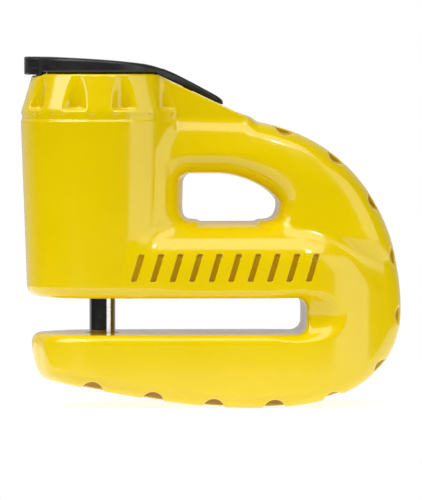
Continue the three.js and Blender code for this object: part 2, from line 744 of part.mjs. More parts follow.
function drillPlateSolid() {
  return roundBar(DISC_RADIUS, CAVITY_TOP - 1.2, CAVITY_TOP - 0.2, 24)
    .subtract(keywaySlot(CAVITY_TOP - 2, CAVITY_TOP + 1))
    .subtract(notch(0, DISC_RADIUS - 1));
}

function sidebarSolid() {
  return box(
    [AXIS_X + DISC_RADIUS + 0.25, -SIDEBAR_WIDTH / 2, STACK_BOTTOM],
    [AXIS_X + HOUSING_BORE + 0.7, SIDEBAR_WIDTH / 2, CAVITY_TOP - 0.8],
  );
}

/** The cam closes the plug from below and reaches down between the latch bolts. */
function camSolid() {
  const [channelLow, channelHigh] = LATCH_CHANNEL;
  const blade = box([AXIS_X - 1.2, -0.5, channelLow + 0.4], [AXIS_X + 1.2, 0.5, channelHigh + 1]);
  return roundBar(PLUG_RADIUS - 0.2, channelHigh + 0.3, PLUG_BOTTOM - 0.2, 24).add(blade);
}

// ---- Assembly ----------------------------------------------------------------------------------

const paint = { yellow: 0xecd000, black: 0x232121 };

function finish(color, roughness, metalness) {
  return new THREE.MeshStandardMaterial({ color, roughness, metalness });
}

const glossYellow = () => finish(paint.yellow, 0.25, 0);
const satinBlack = () => finish(paint.black, 0.5, 0);
const polishedSteel = () => finish(0xb9bcc0, 0.2, 1);
const brushedSteel = () => finish(0xa4a6a8, 0.4, 1);
const darkSteel = () => finish(0x66686c, 0.45, 1);
const brass = () => finish(0xc29b4a, 0.35, 1);
const rubber = () => finish(0x161616, 0.8, 0);

const lock = new THREE.Group();

lock.add(toMesh('body', bodySolid(), glossYellow()));
lock.add(toMesh('top_cover', coverSolid(), satinBlack()));
for (const [name, place] of Object.entries(coverScrewPlaces())) {
  lock.add(toMesh(name, coverScrew(place), darkSteel()));
}
lock.add(toMesh(
  'guide_pin',
  guideRod(GUIDE_PIN.radius, GUIDE_PIN.inner, GUIDE_PIN.outer),
  polishedSteel(),
));

lock.add(toMesh('wiper_seal', wiperSealSolid(), rubber()));

const cylinder = new THREE.Group();
cylinder.add(toMesh('cylinder_housing', housingSolid(), polishedSteel()));
cylinder.add(toMesh('locking_pin', lockingPinSolid(), polishedSteel()));
cylinder.add(toMesh('pin_cross_pin', crossPinRod(0.75, HOUSING_RADIUS - 0.4), darkSteel()));
cylinder.add(toMesh('plug_snap_ring', plugRingSolid(), darkSteel()));
cylinder.add(toMesh('latch_front', latchSolid(-1), darkSteel()));
cylinder.add(toMesh('latch_rear', latchSolid(1), darkSteel()));
lock.add(cylinder);

const plug = new THREE.Group();
plug.add(toMesh('plug', plugSolid(), brushedSteel()));
plug.add(toMesh('keyway_shutter', shutterSolid(), darkSteel()));
plug.add(toMesh('drill_plate', drillPlateSolid(), darkSteel()));
plug.add(toMesh('sidebar', sidebarSolid(), brass()));
plug.add(toMesh('plug_cam', camSolid(), darkSteel()));
const stackPitch = DISC_THICKNESS + SPACER_THICKNESS + 2 * STACK_GAP;
DISC_TURNS.forEach((degrees, i) => {
  const bottom = STACK_BOTTOM + i * stackPitch;
  plug.add(toMesh(`detainer_disc_${i + 1}`, discSolid(bottom, degrees), brass()));
  if (i + 1 < DISC_TURNS.length) {
    const spacer = spacerSolid(bottom + DISC_THICKNESS + STACK_GAP);
    plug.add(toMesh(`spacer_${i + 1}`, spacer, brushedSteel()));
  }
});
cylinder.add(plug);

lock.add(toMesh('return_spring', springSolid(), brushedSteel()));

export default lock;
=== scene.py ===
"""Looks of a disc brake lock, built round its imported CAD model.

Every CAD node is replaced by a finer piece: a signed distance field in millimetres, meshed on a fine grid,
so that every edge is as round as it is on the real object.
"""

import json
import math

import bmesh
import bpy
import numpy as np
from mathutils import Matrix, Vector

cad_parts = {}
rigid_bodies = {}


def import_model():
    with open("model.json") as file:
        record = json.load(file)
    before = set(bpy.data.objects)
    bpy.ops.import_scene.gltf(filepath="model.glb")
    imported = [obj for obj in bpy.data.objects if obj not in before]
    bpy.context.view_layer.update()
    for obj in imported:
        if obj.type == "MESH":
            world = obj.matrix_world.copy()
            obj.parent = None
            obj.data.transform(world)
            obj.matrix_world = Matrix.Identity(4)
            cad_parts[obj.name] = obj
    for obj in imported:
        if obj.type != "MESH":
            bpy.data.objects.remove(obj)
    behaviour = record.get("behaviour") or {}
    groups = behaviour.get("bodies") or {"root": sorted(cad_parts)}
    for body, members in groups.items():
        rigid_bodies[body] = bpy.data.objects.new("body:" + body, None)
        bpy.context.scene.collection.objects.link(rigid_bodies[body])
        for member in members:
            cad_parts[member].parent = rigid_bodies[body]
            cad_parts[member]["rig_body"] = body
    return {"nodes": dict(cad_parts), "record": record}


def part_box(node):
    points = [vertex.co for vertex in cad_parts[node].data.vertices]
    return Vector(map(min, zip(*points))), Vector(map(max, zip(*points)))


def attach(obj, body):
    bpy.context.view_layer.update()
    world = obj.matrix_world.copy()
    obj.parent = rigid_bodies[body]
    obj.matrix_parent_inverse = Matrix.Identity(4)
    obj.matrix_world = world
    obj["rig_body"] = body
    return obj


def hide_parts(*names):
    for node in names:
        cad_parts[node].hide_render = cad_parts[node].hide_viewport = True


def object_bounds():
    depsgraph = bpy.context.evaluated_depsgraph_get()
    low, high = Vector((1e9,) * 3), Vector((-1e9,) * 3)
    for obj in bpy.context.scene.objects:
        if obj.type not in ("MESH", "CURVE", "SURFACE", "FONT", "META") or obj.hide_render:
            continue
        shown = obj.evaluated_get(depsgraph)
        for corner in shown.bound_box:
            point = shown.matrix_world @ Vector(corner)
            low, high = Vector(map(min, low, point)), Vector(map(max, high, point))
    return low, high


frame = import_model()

CAD_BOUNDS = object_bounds()
MM = 0.001


# ---- Sizes taken from the frame, in millimetres ----


def node_box(node):
    """Lowest and highest corners of a CAD node, in millimetres."""
    low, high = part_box(node)
    return np.array(low) / MM, np.array(high) / MM


def mount_place(name):
    """The place of one of the record's mounts, in millimetres."""
    places = {mount["name"]: mount["pos_m"] for mount in frame["record"]["mounts"]}
    return np.array(places[name]) / MM


BODY_LOW, BODY_HIGH = node_box("body")
PIN_LOW, PIN_HIGH = node_box("locking_pin")
HOUSING_LOW, HOUSING_HIGH = node_box("cylinder_housing")
PLUG_LOW, PLUG_HIGH = node_box("plug")
COVER_LOW, COVER_HIGH = node_box("top_cover")
SEAL_LOW, SEAL_HIGH = node_box("wiper_seal")
SPRING_LOW, SPRING_HIGH = node_box("return_spring")

AXIS_X = (PIN_LOW[0] + PIN_HIGH[0]) / 2
PIN_RADIUS = (PIN_HIGH[0] - PIN_LOW[0]) / 2
HOUSING_RADIUS = (HOUSING_HIGH[0] - HOUSING_LOW[0]) / 2
PLUG_RADIUS = (PLUG_HIGH[0] - PLUG_LOW[0]) / 2
SPINE_X = BODY_HIGH[0]
BARREL_RADIUS = BODY_HIGH[1]
RIM_Z = BODY_HIGH[2]
SLOT_FLOOR = mount_place("lower_jaw_face")[2]
SLOT_ROOF = mount_place("upper_jaw_face")[2]
SLOT_MIDDLE = (SLOT_FLOOR + SLOT_ROOF) / 2
HALF_THICKNESS = mount_place("side_face_rear")[1]

# ---- Sizes of the casting, in millimetres ----

# The slot, and the dished run-out at its end.
SLOT_END_X = 17.9
SLOT_CORNER = 2.0
SLOT_EDGE = 1.7
SLOT_EDGE_GAIN = 0.5
DISH_RADII = np.array([9.0, 3.2, 4.3])
DISH_BACK = 0.9
DISH_OUT = 0.5
DISH_EDGE = 1.0

# The rim's outline, and the rounding along it.
TIP_X = -34.4
BELLY_X = 7.7
SPINE_Z = 18.3
ARCH_START = (5.4, 54.9)
RIM_ROUND = 2.9

# The jaws: their plan, and the shoulder over them.
PLAN_START_X = 17.0
PLAN_RADIUS = 22.0
PLAN_TURN = math.radians(40)
SHOULDER_Z = 35.4
SHOULDER_ROUND = 5.6
SHOULDER_CROWN = 1 / 80

# The arch: its faces curve in towards the hole, are chamfered along the rim and sink into the jaws.
ARCH_HALF = 10.6
ARCH_SINK = 7.0
ARCH_SINK_Z = (33, 20)
INNER_CROWN = 6.5
CROWN_RADIUS = 14.0
CHAMFER_WIDTH = 4.2
CHAMFER_SLOPE = 0.68
CHAMFER_ROUND = 1.3
CHAMFER_ROUND_GAIN = 0.9
CHAMFER_ROUND_Z = (30, 52)
CREASE_ROUND = 1.3
CREASE_GAIN = 4.0
CREASE_Z = (30, 24)

# The web from the barrel to the arch.
WEB_HALF = 7.9
WEB_BEND_X = -10.9
WEB_END = (2.5, 57.4)
WEB_FOOT_X = 7.4
WEB_END_ROUND = 1.4
WEB_FILLET = 0.9
WEB_TOP_EDGE = 0.3
HEAD_FILLET = 2.0

# The carrying hole.
HOLE_LEFT = -6.4
HOLE_RIGHT = 12.8
HOLE_TOP = 44.65
HOLE_CORNER = 2.4
HOLE_FOOT_CORNER = 3.4
HOLE_FOOT_Z = 29.0
HOLE_ROUND = 3.8
CORNER_POINTS = 16

# The barrel, with a groove under its cone and flutes round it.
RIM_RADIUS = 13.4
CONE_BASE_Z = 56.4
BARREL_FOOT_RADIUS = 14.4
BARREL_EDGE = 0.35
GROOVE_START = (-1.75, -1.35)
GROOVE_END = (-0.45, -0.1)
GROOVE_DEPTH = 0.25
FLUTE_RADIUS = 2.35
FLUTE_AXIS_RADIUS = 16.0
FLUTE_LEDGE = 56.95
FLUTE_SECTOR = math.radians(36)
FLUTE_PHASE = math.radians(-3.6)
FLUTE_EDGE = 0.5

# The bores inside the barrel.
BORE_RADIUS = 9.8
BORE_FLOOR_Z = 27.5
COUNTERBORE_WIDTH = 1
COUNTERBORE_DEPTH = 3
LATCH_GROOVE_Z = (43.7, 53.3)
LATCH_GROOVE_DEPTH = 1.4
LATCH_RAMP = 6.4
RUNNING_GAP = 0.3
SOCKET_FLOOR_Z = 10.2

# The rim's pockets: their first and last places are shares of its length.
POCKET_COUNT = 11
POCKET_FIRST, POCKET_LAST = 0.138, 0.943
POCKET_RADIUS = 2.15
POCKET_EDGE = 0.35
BELLY_END = (20, 5)
BELLY_POCKET_OFFSET = 0.55
SPINE_POCKET_OFFSET = 1.0
BELLY_POCKET_REACH = 6.5
SPINE_POCKET_REACH = 3.4

# The row of bars, and the depth at which a recess gets its full painted shade.
BAR_COUNT = 10
BAR_PITCH = 3.7
BAR_WIDTH = 1.1
BAR_HEIGHT = 5.2
BAR_DEPTH = 0.5
BAR_LEAN = math.tan(0.3)
BAR_MIDDLE = (2.2, 26.8)
FRONT_FACE_Y = -8
PAINTED_SHADE_DEPTH = 0.4

# The notches for the cover's lugs.
LUG_X = (-34.8, -32.2)
LUG_Z = RIM_Z - 0.35

# ---- Distance fields: negative inside ----


def round_max(a, b, radius):
    """What is inside both fields, with the edge between them rounded."""
    past_a = np.maximum(a + radius, 0)
    past_b = np.maximum(b + radius, 0)
    return np.minimum(np.maximum(a, b), -radius) + np.hypot(past_a, past_b)


def round_min(a, b, radius):
    """What is inside either field, with a fillet between them."""
    return -round_max(-a, -b, radius)


def smooth_step(low, high, value):
    t = np.clip((value - low) / (high - low), 0, 1)
    return t * t * (3 - 2 * t)


def bezier(start, first, second, end, count=48):
    """Points along a cubic curve, without its last one."""
    t = np.linspace(0, 1, count, endpoint=False)[:, None]
    corners = [np.array(corner, float) for corner in (start, first, second, end)]
    weights = ((1 - t) ** 3, 3 * t * (1 - t) ** 2, 3 * t * t * (1 - t), t**3)
    return sum(weight * corner for weight, corner in zip(weights, corners))


def corner_curve(start, corner, end):
    """Points round a corner, with both handles two thirds of the way to it."""
    start, corner, end = np.array(start), np.array(corner), np.array(end)
    return bezier(start, start + (corner - start) * 2 / 3, end + (corner - end) * 2 / 3, end, CORNER_POINTS)


def arc(centre, radius, start, end, count=48):
    """Points along an arc, from one angle in degrees to another."""
    angles = np.radians(np.linspace(start, end, count))
    return np.stack([centre[0] + radius * np.cos(angles), centre[1] + radius * np.sin(angles)], 1)


class Outline:
    """Signed distance to a closed outline, read from a smooth table."""

    def __init__(self, points, step=0.25, margin=4.0):
        points = np.asarray(points, float)
        self.step = step
        self.low = points.min(0).clip(-45, 45) - margin
        high = points.max(0).clip(-45, 75) + margin
        counts = np.ceil((high - self.low) / step).astype(int) + 1
        u = self.low[0] + step * np.arange(counts[0])
        v = self.low[1] + step * np.arange(counts[1])
        self.table = np.array([self._exact(points, np.full(len(v), x), v) for x in u])

    @staticmethod
    def _exact(points, u, v):
        start = points
        along = np.roll(points, -1, axis=0) - start
        long_enough = np.hypot(*along.T) > 1e-9
        start, along = start[long_enough], along[long_enough]
        du = u[:, None] - start[None, :, 0]
        dv = v[:, None] - start[None, :, 1]
        share = np.clip((du * along[:, 0] + dv * along[:, 1]) / (along**2).sum(1), 0, 1)
        distance = np.hypot(du - share * along[:, 0], dv - share * along[:, 1]).min(1)
        spans = (start[:, 1] > v[:, None]) != (start[:, 1] + along[:, 1] > v[:, None])
        rise = np.where(along[:, 1] == 0, 1, along[:, 1])
        crossing = start[:, 0] + dv / rise * along[:, 0]
        inside = (spans & (u[:, None] < crossing)).sum(1) % 2 == 1
        return np.where(inside, -distance, distance)

    def __call__(self, u, v):
        rows, columns = self.table.shape
        i = np.clip((u - self.low[0]) / self.step, 1, rows - 2.001)
        k = np.clip((v - self.low[1]) / self.step, 1, columns - 2.001)
        row, column = i.astype(int), k.astype(int)
        total = np.zeros(len(u))
        for a, row_weight in enumerate(cubic_weights(i - row)):
            for b, column_weight in enumerate(cubic_weights(k - column)):
                at = np.minimum(row + a - 1, rows - 1), np.minimum(column + b - 1, columns - 1)
                total += row_weight * column_weight * self.table[at]
        return total


def cubic_weights(t):
    return (
        -0.5 * t + t**2 - 0.5 * t**3,
        1 - 2.5 * t**2 + 1.5 * t**3,
        0.5 * t + 2 * t**2 - 1.5 * t**3,
        -0.5 * t**2 + 0.5 * t**3,
    )


def box_field(place, centre, half, radius=0.0):
    """A block with rounded edges; place, centre and half sizes are lists of coordinates."""
    past = [np.abs(value - middle) - size + radius for value, middle, size in zip(place, centre, half)]
    outside = np.sqrt(sum(np.maximum(value, 0) ** 2 for value in past))
    inside = np.minimum(np.max(past, axis=0), 0)
    return outside + inside - radius


def between(value, low, high):
    """Negative between two limits."""
    return np.abs(value - (low + high) / 2) - (high - low) / 2


def tube_field(radius, z, inner, outer, bottom, top, edge):
    """A ring about the barrel's axis."""
    return round_max(between(radius, inner, outer), between(z, bottom, top), edge)


def disc_field(radius, z, outer, bottom, top, edge):
    """A round bar on the barrel's axis."""
    return round_max(radius - outer, between(z, bottom, top), edge)


def rod_field(place, start, end, radius, edge=0.15):
    """A round bar between two points."""
    start, end = np.array(start, float), np.array(end, float)
    along = (end - start) / np.linalg.norm(end - start)
    offset = place - (start + end) / 2
    run = offset @ along
    away = np.linalg.norm(offset - run[:, None] * along, axis=1)
    return round_max(away - radius, np.abs(run) - np.linalg.norm(end - start) / 2, edge)


# ---- The casting ----


def rim_curve():
    """The outer rim of the casting, from the tip of the lower jaw round to the arch's start."""
    belly_left = (-31.2, 5.05)
    return np.concatenate([
        bezier((TIP_X, SLOT_FLOOR), (TIP_X, 9.5), (TIP_X + 0.6, 5.6), belly_left),
        bezier(belly_left, (-18.4, 2.85), (-5.4, 0), (BELLY_X, 0)),
        bezier((BELLY_X, 0), (26.4, 0), (SPINE_X, 6.4), (SPINE_X, SPINE_Z)),
        bezier((SPINE_X, SPINE_Z), (SPINE_X, 36), (27, 53), ARCH_START, 96),
    ])


def casting_outline():
    inside_barrel = [ARCH_START, (-17, 55.5), (-17, SLOT_MIDDLE), (TIP_X, SLOT_MIDDLE)]
    return Outline(np.concatenate([rim_curve(), inside_barrel]))


def shoulder_outline():
    """Everything under the sloping shoulder of the thick part."""
    curve = bezier((36.2, 26.5), (31, 31), (24, SHOULDER_Z), (14, SHOULDER_Z))
    around = [(14, SHOULDER_Z), (-60, SHOULDER_Z), (-60, -30), (60, -30), (60, 15)]
    return Outline(np.concatenate([curve, around]))


def hole_outline():
    """The carrying hole, with a neck drawn down past its floor, which the jaws' shoulder gives."""
    left, right, top, floor = HOLE_LEFT, HOLE_RIGHT, HOLE_TOP, SHOULDER_Z
    corner, foot = HOLE_CORNER, HOLE_FOOT_CORNER
    return Outline(np.concatenate([
        [(left + foot, HOLE_FOOT_Z), (right - foot, HOLE_FOOT_Z)],
        corner_curve((right - foot, floor), (right, floor), (right, floor + foot)),
        bezier((right, floor + foot), (right, 41), (6.2, top), (1, top)),
        corner_curve((left + corner, top), (left, top), (left, top - corner)),
        corner_curve((left, floor + foot), (left, floor), (left + foot, floor)),
        [(left + foot, floor)],
    ]))


CASTING = casting_outline()
SHOULDER = shoulder_outline()
HOLE = hole_outline()


def on_belly(x, z):
    """True on the part of the rim that forms the belly."""
    return (x < BELLY_END[0]) & (z < BELLY_END[1])


def pocket_places():
    """Centres of the rim pockets, evenly spaced along the rim."""
    rim = rim_curve()
    along = np.gradient(rim, axis=0)
    outward = np.stack([along[:, 1], -along[:, 0]], 1) / np.hypot(*along.T)[:, None]
    offset = np.where(on_belly(*rim.T), BELLY_POCKET_OFFSET, SPINE_POCKET_OFFSET)
    rim = rim + offset[:, None] * outward
    travelled = np.concatenate([[0], np.cumsum(np.hypot(*np.diff(rim, axis=0).T))])
    places = np.linspace(POCKET_FIRST, POCKET_LAST, POCKET_COUNT) * travelled[-1]
    return [(np.interp(s, travelled, rim[:, 0]), np.interp(s, travelled, rim[:, 1])) for s in places]


POCKETS = pocket_places()


def barrel_field(x, y, z):
    """The fluted barrel."""
    radius = np.hypot(x - AXIS_X, y)
    taper = (BARREL_RADIUS - BARREL_FOOT_RADIUS) / (CONE_BASE_Z - SLOT_ROOF)
    wall = BARREL_FOOT_RADIUS + (z - SLOT_ROOF) * taper
    groove = smooth_step(*GROOVE_START, z - CONE_BASE_Z) - smooth_step(*GROOVE_END, z - CONE_BASE_Z)
    side = radius - np.minimum(wall, BARREL_RADIUS) + GROOVE_DEPTH * groove
    slope = (BARREL_RADIUS - RIM_RADIUS) / (RIM_Z - CONE_BASE_Z)
    cone = (radius - BARREL_RADIUS + (z - CONE_BASE_Z) * slope) / math.hypot(1, slope)
    barrel = round_max(round_max(side, cone, BARREL_EDGE), z - RIM_Z, BARREL_EDGE)
    angle = np.arctan2(y, x - AXIS_X) - FLUTE_PHASE
    folded = np.mod(angle + FLUTE_SECTOR / 2, FLUTE_SECTOR) - FLUTE_SECTOR / 2
    away = np.hypot(radius * np.cos(folded) - FLUTE_AXIS_RADIUS, radius * np.sin(folded))
    flute = round_max(away - FLUTE_RADIUS, FLUTE_LEDGE - z, FLUTE_EDGE)
    flute = np.where(np.abs(angle) < FLUTE_SECTOR / 2, FLUTE_RADIUS, flute)
    return np.maximum(round_max(barrel, -flute, FLUTE_EDGE), SLOT_MIDDLE - z)


def jaw_side(x, y, z):
    """The thick jaws: half round about the pin in plan, drawn in towards the spine, under the shoulder."""
    across = np.abs(y)
    reach = AXIS_X - TIP_X
    tip = np.hypot(x - AXIS_X, y * reach / HALF_THICKNESS) - reach
    run, rise = x - PLAN_START_X, across + PLAN_RADIUS - HALF_THICKNESS
    curved = np.hypot(run, rise) - PLAN_RADIUS
    straight = run * math.sin(PLAN_TURN) + rise * math.cos(PLAN_TURN) - PLAN_RADIUS
    spine = np.where(run > rise * math.tan(PLAN_TURN), straight, curved)
    plan = np.where(x > PLAN_START_X, spine, across - HALF_THICKNESS)
    plan = np.where(x < AXIS_X, tip, plan)
    jaws = round_max(plan, SHOULDER(x, z) + SHOULDER_CROWN * y**2, SHOULDER_ROUND)
    behind_axis = np.where(z > SLOT_MIDDLE, AXIS_X - x, -BARREL_RADIUS)
    return np.maximum(jaws, behind_axis)


def arch_side(x, y, z, casting):
    """The arch, whose faces fall away towards the rim, with the carrying hole through it."""
    hole = HOLE(x, z)
    inner_crown = np.clip(INNER_CROWN - hole, 0, INNER_CROWN) ** 2 / (2 * CROWN_RADIUS)
    face = np.abs(y) - ARCH_HALF + inner_crown + ARCH_SINK * smooth_step(*ARCH_SINK_Z, z)
    chamfer = (face + CHAMFER_SLOPE * (casting + CHAMFER_WIDTH)) / math.hypot(1, CHAMFER_SLOPE)
    soft = smooth_step(*CHAMFER_ROUND_Z, z)
    side = round_max(face, chamfer, CHAMFER_ROUND + CHAMFER_ROUND_GAIN * soft)
    return round_max(side, -hole, HOLE_ROUND)


def web_slope(x, z):
    """Height over the sloping top of the web, square to it."""
    run = WEB_END[0] - WEB_BEND_X
    drop = RIM_Z - WEB_END[1]
    return ((z - RIM_Z) * run + (x - WEB_BEND_X) * drop) / math.hypot(run, drop)


def web_field(x, y, z):
    """The flat web that carries the cover's tail from the barrel to the arch."""
    above_hole = 4
    web = round_max(np.abs(y) - WEB_HALF, x - WEB_FOOT_X, WEB_END_ROUND)
    return np.maximum(web, np.maximum(HOLE_TOP + above_hole - z, AXIS_X - x))


def slot_field(x, z):
    """The slot for the brake disc, open past the jaws' tips."""
    half_height = (SLOT_ROOF - SLOT_FLOOR) / 2
    half_length = 60.0
    centre = (SLOT_END_X - half_length, SLOT_MIDDLE)
    return box_field((x, z), centre, (half_length, half_height), SLOT_CORNER)


def dish_field(x, y, z):
    """The shallow dished run-out at the end of the slot."""
    place = np.stack([x - SLOT_END_X + DISH_BACK, np.abs(y) - HALF_THICKNESS - DISH_OUT, z - SLOT_MIDDLE], 1)
    scaled = np.linalg.norm(place / DISH_RADII, axis=1)
    steep = np.linalg.norm(place / DISH_RADII**2, axis=1)
    return scaled * (scaled - 1) / np.maximum(steep, 1e-6)


def pocket_field(x, y, z):
    """The pockets cut into the rim from both faces."""
    far = 9.0
    nearest = np.full(len(x), far)
    for pocket_x, pocket_z in POCKETS:
        reach = BELLY_POCKET_REACH if on_belly(pocket_x, pocket_z) else SPINE_POCKET_REACH
        pocket = np.hypot(x - pocket_x, z - pocket_z) - POCKET_RADIUS
        nearest = np.minimum(nearest, round_max(pocket, reach - np.abs(y), POCKET_EDGE))
    return nearest


def bore_field(x, y, z):
    """The cylinder's bore with its counterbore and latch groove, and the pin's hole and socket."""
    radius = np.hypot(x - AXIS_X, y)
    bore = np.maximum(radius - BORE_RADIUS, BORE_FLOOR_Z - z)
    counterbore = np.maximum(radius - BORE_RADIUS - COUNTERBORE_WIDTH, RIM_Z - COUNTERBORE_DEPTH - z)
    low, high = LATCH_GROOVE_Z
    fade = np.clip((high - z) / LATCH_RAMP, 0, 1) * LATCH_GROOVE_DEPTH
    groove = np.maximum(np.maximum(radius - BORE_RADIUS - fade, low - z), z - high)
    pin_hole = np.maximum(radius - PIN_RADIUS - RUNNING_GAP, SOCKET_FLOOR_Z - z)
    return np.minimum(np.minimum(bore, counterbore), np.minimum(groove, pin_hole))


def lug_field(x, y, z, gap):
    """The tabs of the cover that drop into notches in the barrel's rim."""
    middle = (LUG_X[0] + LUG_X[1]) / 2
    half = (LUG_X[1] - LUG_X[0]) / 2 - gap
    height = 3.0
    centre = (middle, 0, LUG_Z + gap + height)
    return box_field((x, y, z), centre, (half, BARREL_RADIUS, height), 0.5)


def engrave_bars(solid, x, y, z):
    """A row of leaning bars sunk to one depth into the front face."""
    along = x - BAR_MIDDLE[0] - BAR_LEAN * (z - BAR_MIDDLE[1])
    number = np.clip(np.round(along / BAR_PITCH + (BAR_COUNT - 1) / 2), 0, BAR_COUNT - 1)
    offset = along - (number - (BAR_COUNT - 1) / 2) * BAR_PITCH
    bar = box_field((offset, z), (0, BAR_MIDDLE[1]), (BAR_WIDTH / 2, BAR_HEIGHT / 2), 0.2)
    cut = round_max(bar, -solid - BAR_DEPTH, 0.1)
    engraved = round_max(solid, -cut, 0.09)
    return np.where((y < FRONT_FACE_Y) & (bar < 1), engraved, solid)


def plain_casting_field(place):
    """The casting before its pockets, bars and holes are cut."""
    x, y, z = place.T
    casting = CASTING(x, z)
    crease = CREASE_ROUND + CREASE_GAIN * smooth_step(*CREASE_Z, z)
    side = round_min(arch_side(x, y, z, casting), jaw_side(x, y, z), crease)
    solid = round_max(side, casting, RIM_ROUND)
    head = round_min(barrel_field(x, y, z), web_field(x, y, z), WEB_FILLET)
    head = round_max(head, web_slope(x, z), WEB_TOP_EDGE)
    solid = round_min(solid, head, HEAD_FILLET)
    under_barrel = smooth_step(AXIS_X + 16, AXIS_X + 4, x) * (z > SLOT_MIDDLE)
    solid = round_max(solid, -slot_field(x, z), SLOT_EDGE + SLOT_EDGE_GAIN * under_barrel)
    return round_max(solid, -dish_field(x, y, z), DISH_EDGE)


def casting_field(place):
    """The whole casting."""
    x, y, z = place.T
    solid = plain_casting_field(place)
    solid = round_max(solid, -pocket_field(x, y, z), 0.3)
    solid = engrave_bars(solid, x, y, z)
    solid = round_max(solid, -lug_field(x, y, z, 0), 0.25)
    solid = round_max(solid, -bore_field(x, y, z), 0.3)
    return round_max(solid, -screw_holes(place), 0.15)


def casting_painted_shade(place):
    """Painted shade for the casting's hollows: 0 on its outside, rising to 1 inside its pockets and bars."""
    return smooth_step(0.05, PAINTED_SHADE_DEPTH, -plain_casting_field(place))


# ---- The cover and its screws ----

COVER_GAP = 0.2
COVER_NOSE_X = COVER_LOW[0]
COVER_TOP_Z = COVER_HIGH[2]
COVER_EDGE = 0.6
COVER_CROWN = 0.25
COVER_HOLE_RADIUS = HOUSING_RADIUS + 0.35
FRONT_SCREW_X = -32.5
REAR_SCREW_X = -4.5
SCREW_HEAD_RADIUS = 1.85
SCREW_SHANK_RADIUS = 1.0
SCREW_HOLE_RADIUS = 1.25
SCREW_SEAT_RADIUS = 2.15
SCREW_SEAT_DEPTH = 0.9
ABOVE_SCREW = -3
SLOPE = (RIM_Z - WEB_END[1]) / (WEB_END[0] - WEB_BEND_X)
SLOPE_NORMAL = np.array([SLOPE, 0, 1]) / math.hypot(SLOPE, 1)
REAR_SEAT = np.array([REAR_SCREW_X, 0, RIM_Z - (REAR_SCREW_X - WEB_BEND_X) * SLOPE])

# The middle of each head's top, the direction it is driven from, and the screw's length.
SCREWS = {
    "cover_screw_front": (np.array([FRONT_SCREW_X, 0, RIM_Z + 2.6]), np.array([0, 0, 1.0]), 8.0),
    "cover_screw_rear": (REAR_SEAT + 1.15 * SLOPE_NORMAL, SLOPE_NORMAL, 6.5),
}


def screw_rod(place, screw, radius, start, end, edge=0.15):
    """A rod down a screw's line, between two depths under the top of its head."""
    head, normal, _ = SCREWS[screw]
    return rod_field(place, head - normal * start, head - normal * end, radius, edge)


def screw_holes(place):
    """The holes in the casting that both screws go into."""
    past_end = 0.6
    holes = [
        screw_rod(place, screw, SCREW_HOLE_RADIUS, ABOVE_SCREW, length + past_end)
        for screw, (_, _, length) in SCREWS.items()
    ]
    return np.minimum(*holes)


def screw_field(screw):
    """A pan-head screw with a cross recess."""
    head, normal, length = SCREWS[screw]
    sideways = np.cross(normal, (0, 1, 0))

    def field(place):
        top = screw_rod(place, screw, SCREW_HEAD_RADIUS, 0, 0.6, 0.22)
        shank = screw_rod(place, screw, SCREW_SHANK_RADIUS, 0.4, length, 0.2)
        offset = place - head
        axes = (offset @ sideways, offset[:, 1], offset @ normal)
        arm_length, arm_width, depth = 0.95, 0.25, 0.4
        arms = (arm_length, arm_width, depth), (arm_width, arm_length, depth)
        recess = [box_field(axes, (0, 0, 0), half, 0.1) for half in arms]
        return round_max(np.minimum(top, shank), -np.minimum(*recess), 0.08)

    return field


def cover_profile():
    """Side profile of the cover: thick at the lip, thinning over the barrel and down the web."""
    under = RIM_Z + COVER_GAP
    step_x = AXIS_X - RIM_RADIUS - 0.3
    nose = COVER_NOSE_X - 0.1
    tail = WEB_END[0]
    return Outline(np.concatenate([
        [(nose, RIM_Z - 0.2), (step_x, RIM_Z - 0.2), (step_x, under), (WEB_BEND_X + 0.1, under)],
        [(tail, WEB_END[1] + COVER_GAP), (tail, WEB_END[1] + 1.1)],
        bezier((1, 59.5), (-1.2, 60.7), (-3.4, 61.9), (-5.8, 63.1), 12),
        bezier((-5.8, 63.1), (-8.5, 64.5), (-11.1, 65.4), (-13.8, 65.8), 24),
        bezier((-13.8, 65.8), (-20, 66.7), (-27, COVER_TOP_Z), (nose, COVER_TOP_Z), 32),
        [(nose, COVER_TOP_Z)],
    ]))


def cover_plan():
    """Plan of the cover: a disc over the barrel, a thumb lip in front and a tail over the web."""
    radius = RIM_RADIUS + 0.1
    centre = (AXIS_X, 0)
    tail = WEB_END[0]
    right = arc(centre, radius, -155, -52)
    tail_x, tail_y = right[-1]
    lip_x, lip_y = right[0]
    return Outline(np.concatenate([
        right[:-1],
        bezier((tail_x, tail_y), (tail_x + 4.5, tail_y + 3.4), (-6, -6.6), (tail - 3, -6)),
        bezier((tail - 3, -6), (tail, -5.6), (tail, -3), (tail, 0), 24),
        bezier((tail, 0), (tail, 3), (tail, 5.6), (tail - 3, 6), 24),
        bezier((tail - 3, 6), (-6, 6.6), (tail_x + 4.5, -tail_y - 3.4), (tail_x, -tail_y)),
        arc(centre, radius, 52, 155)[:-1],
        bezier((lip_x, -lip_y), (COVER_NOSE_X + 0.9, -lip_y - 1.8), (COVER_NOSE_X, 2.6), (COVER_NOSE_X, 0)),
        bezier((COVER_NOSE_X, 0), (COVER_NOSE_X, -2.6), (COVER_NOSE_X + 0.9, lip_y + 1.8), (lip_x, lip_y)),
    ]))


COVER_PROFILE = cover_profile()
COVER_PLAN = cover_plan()


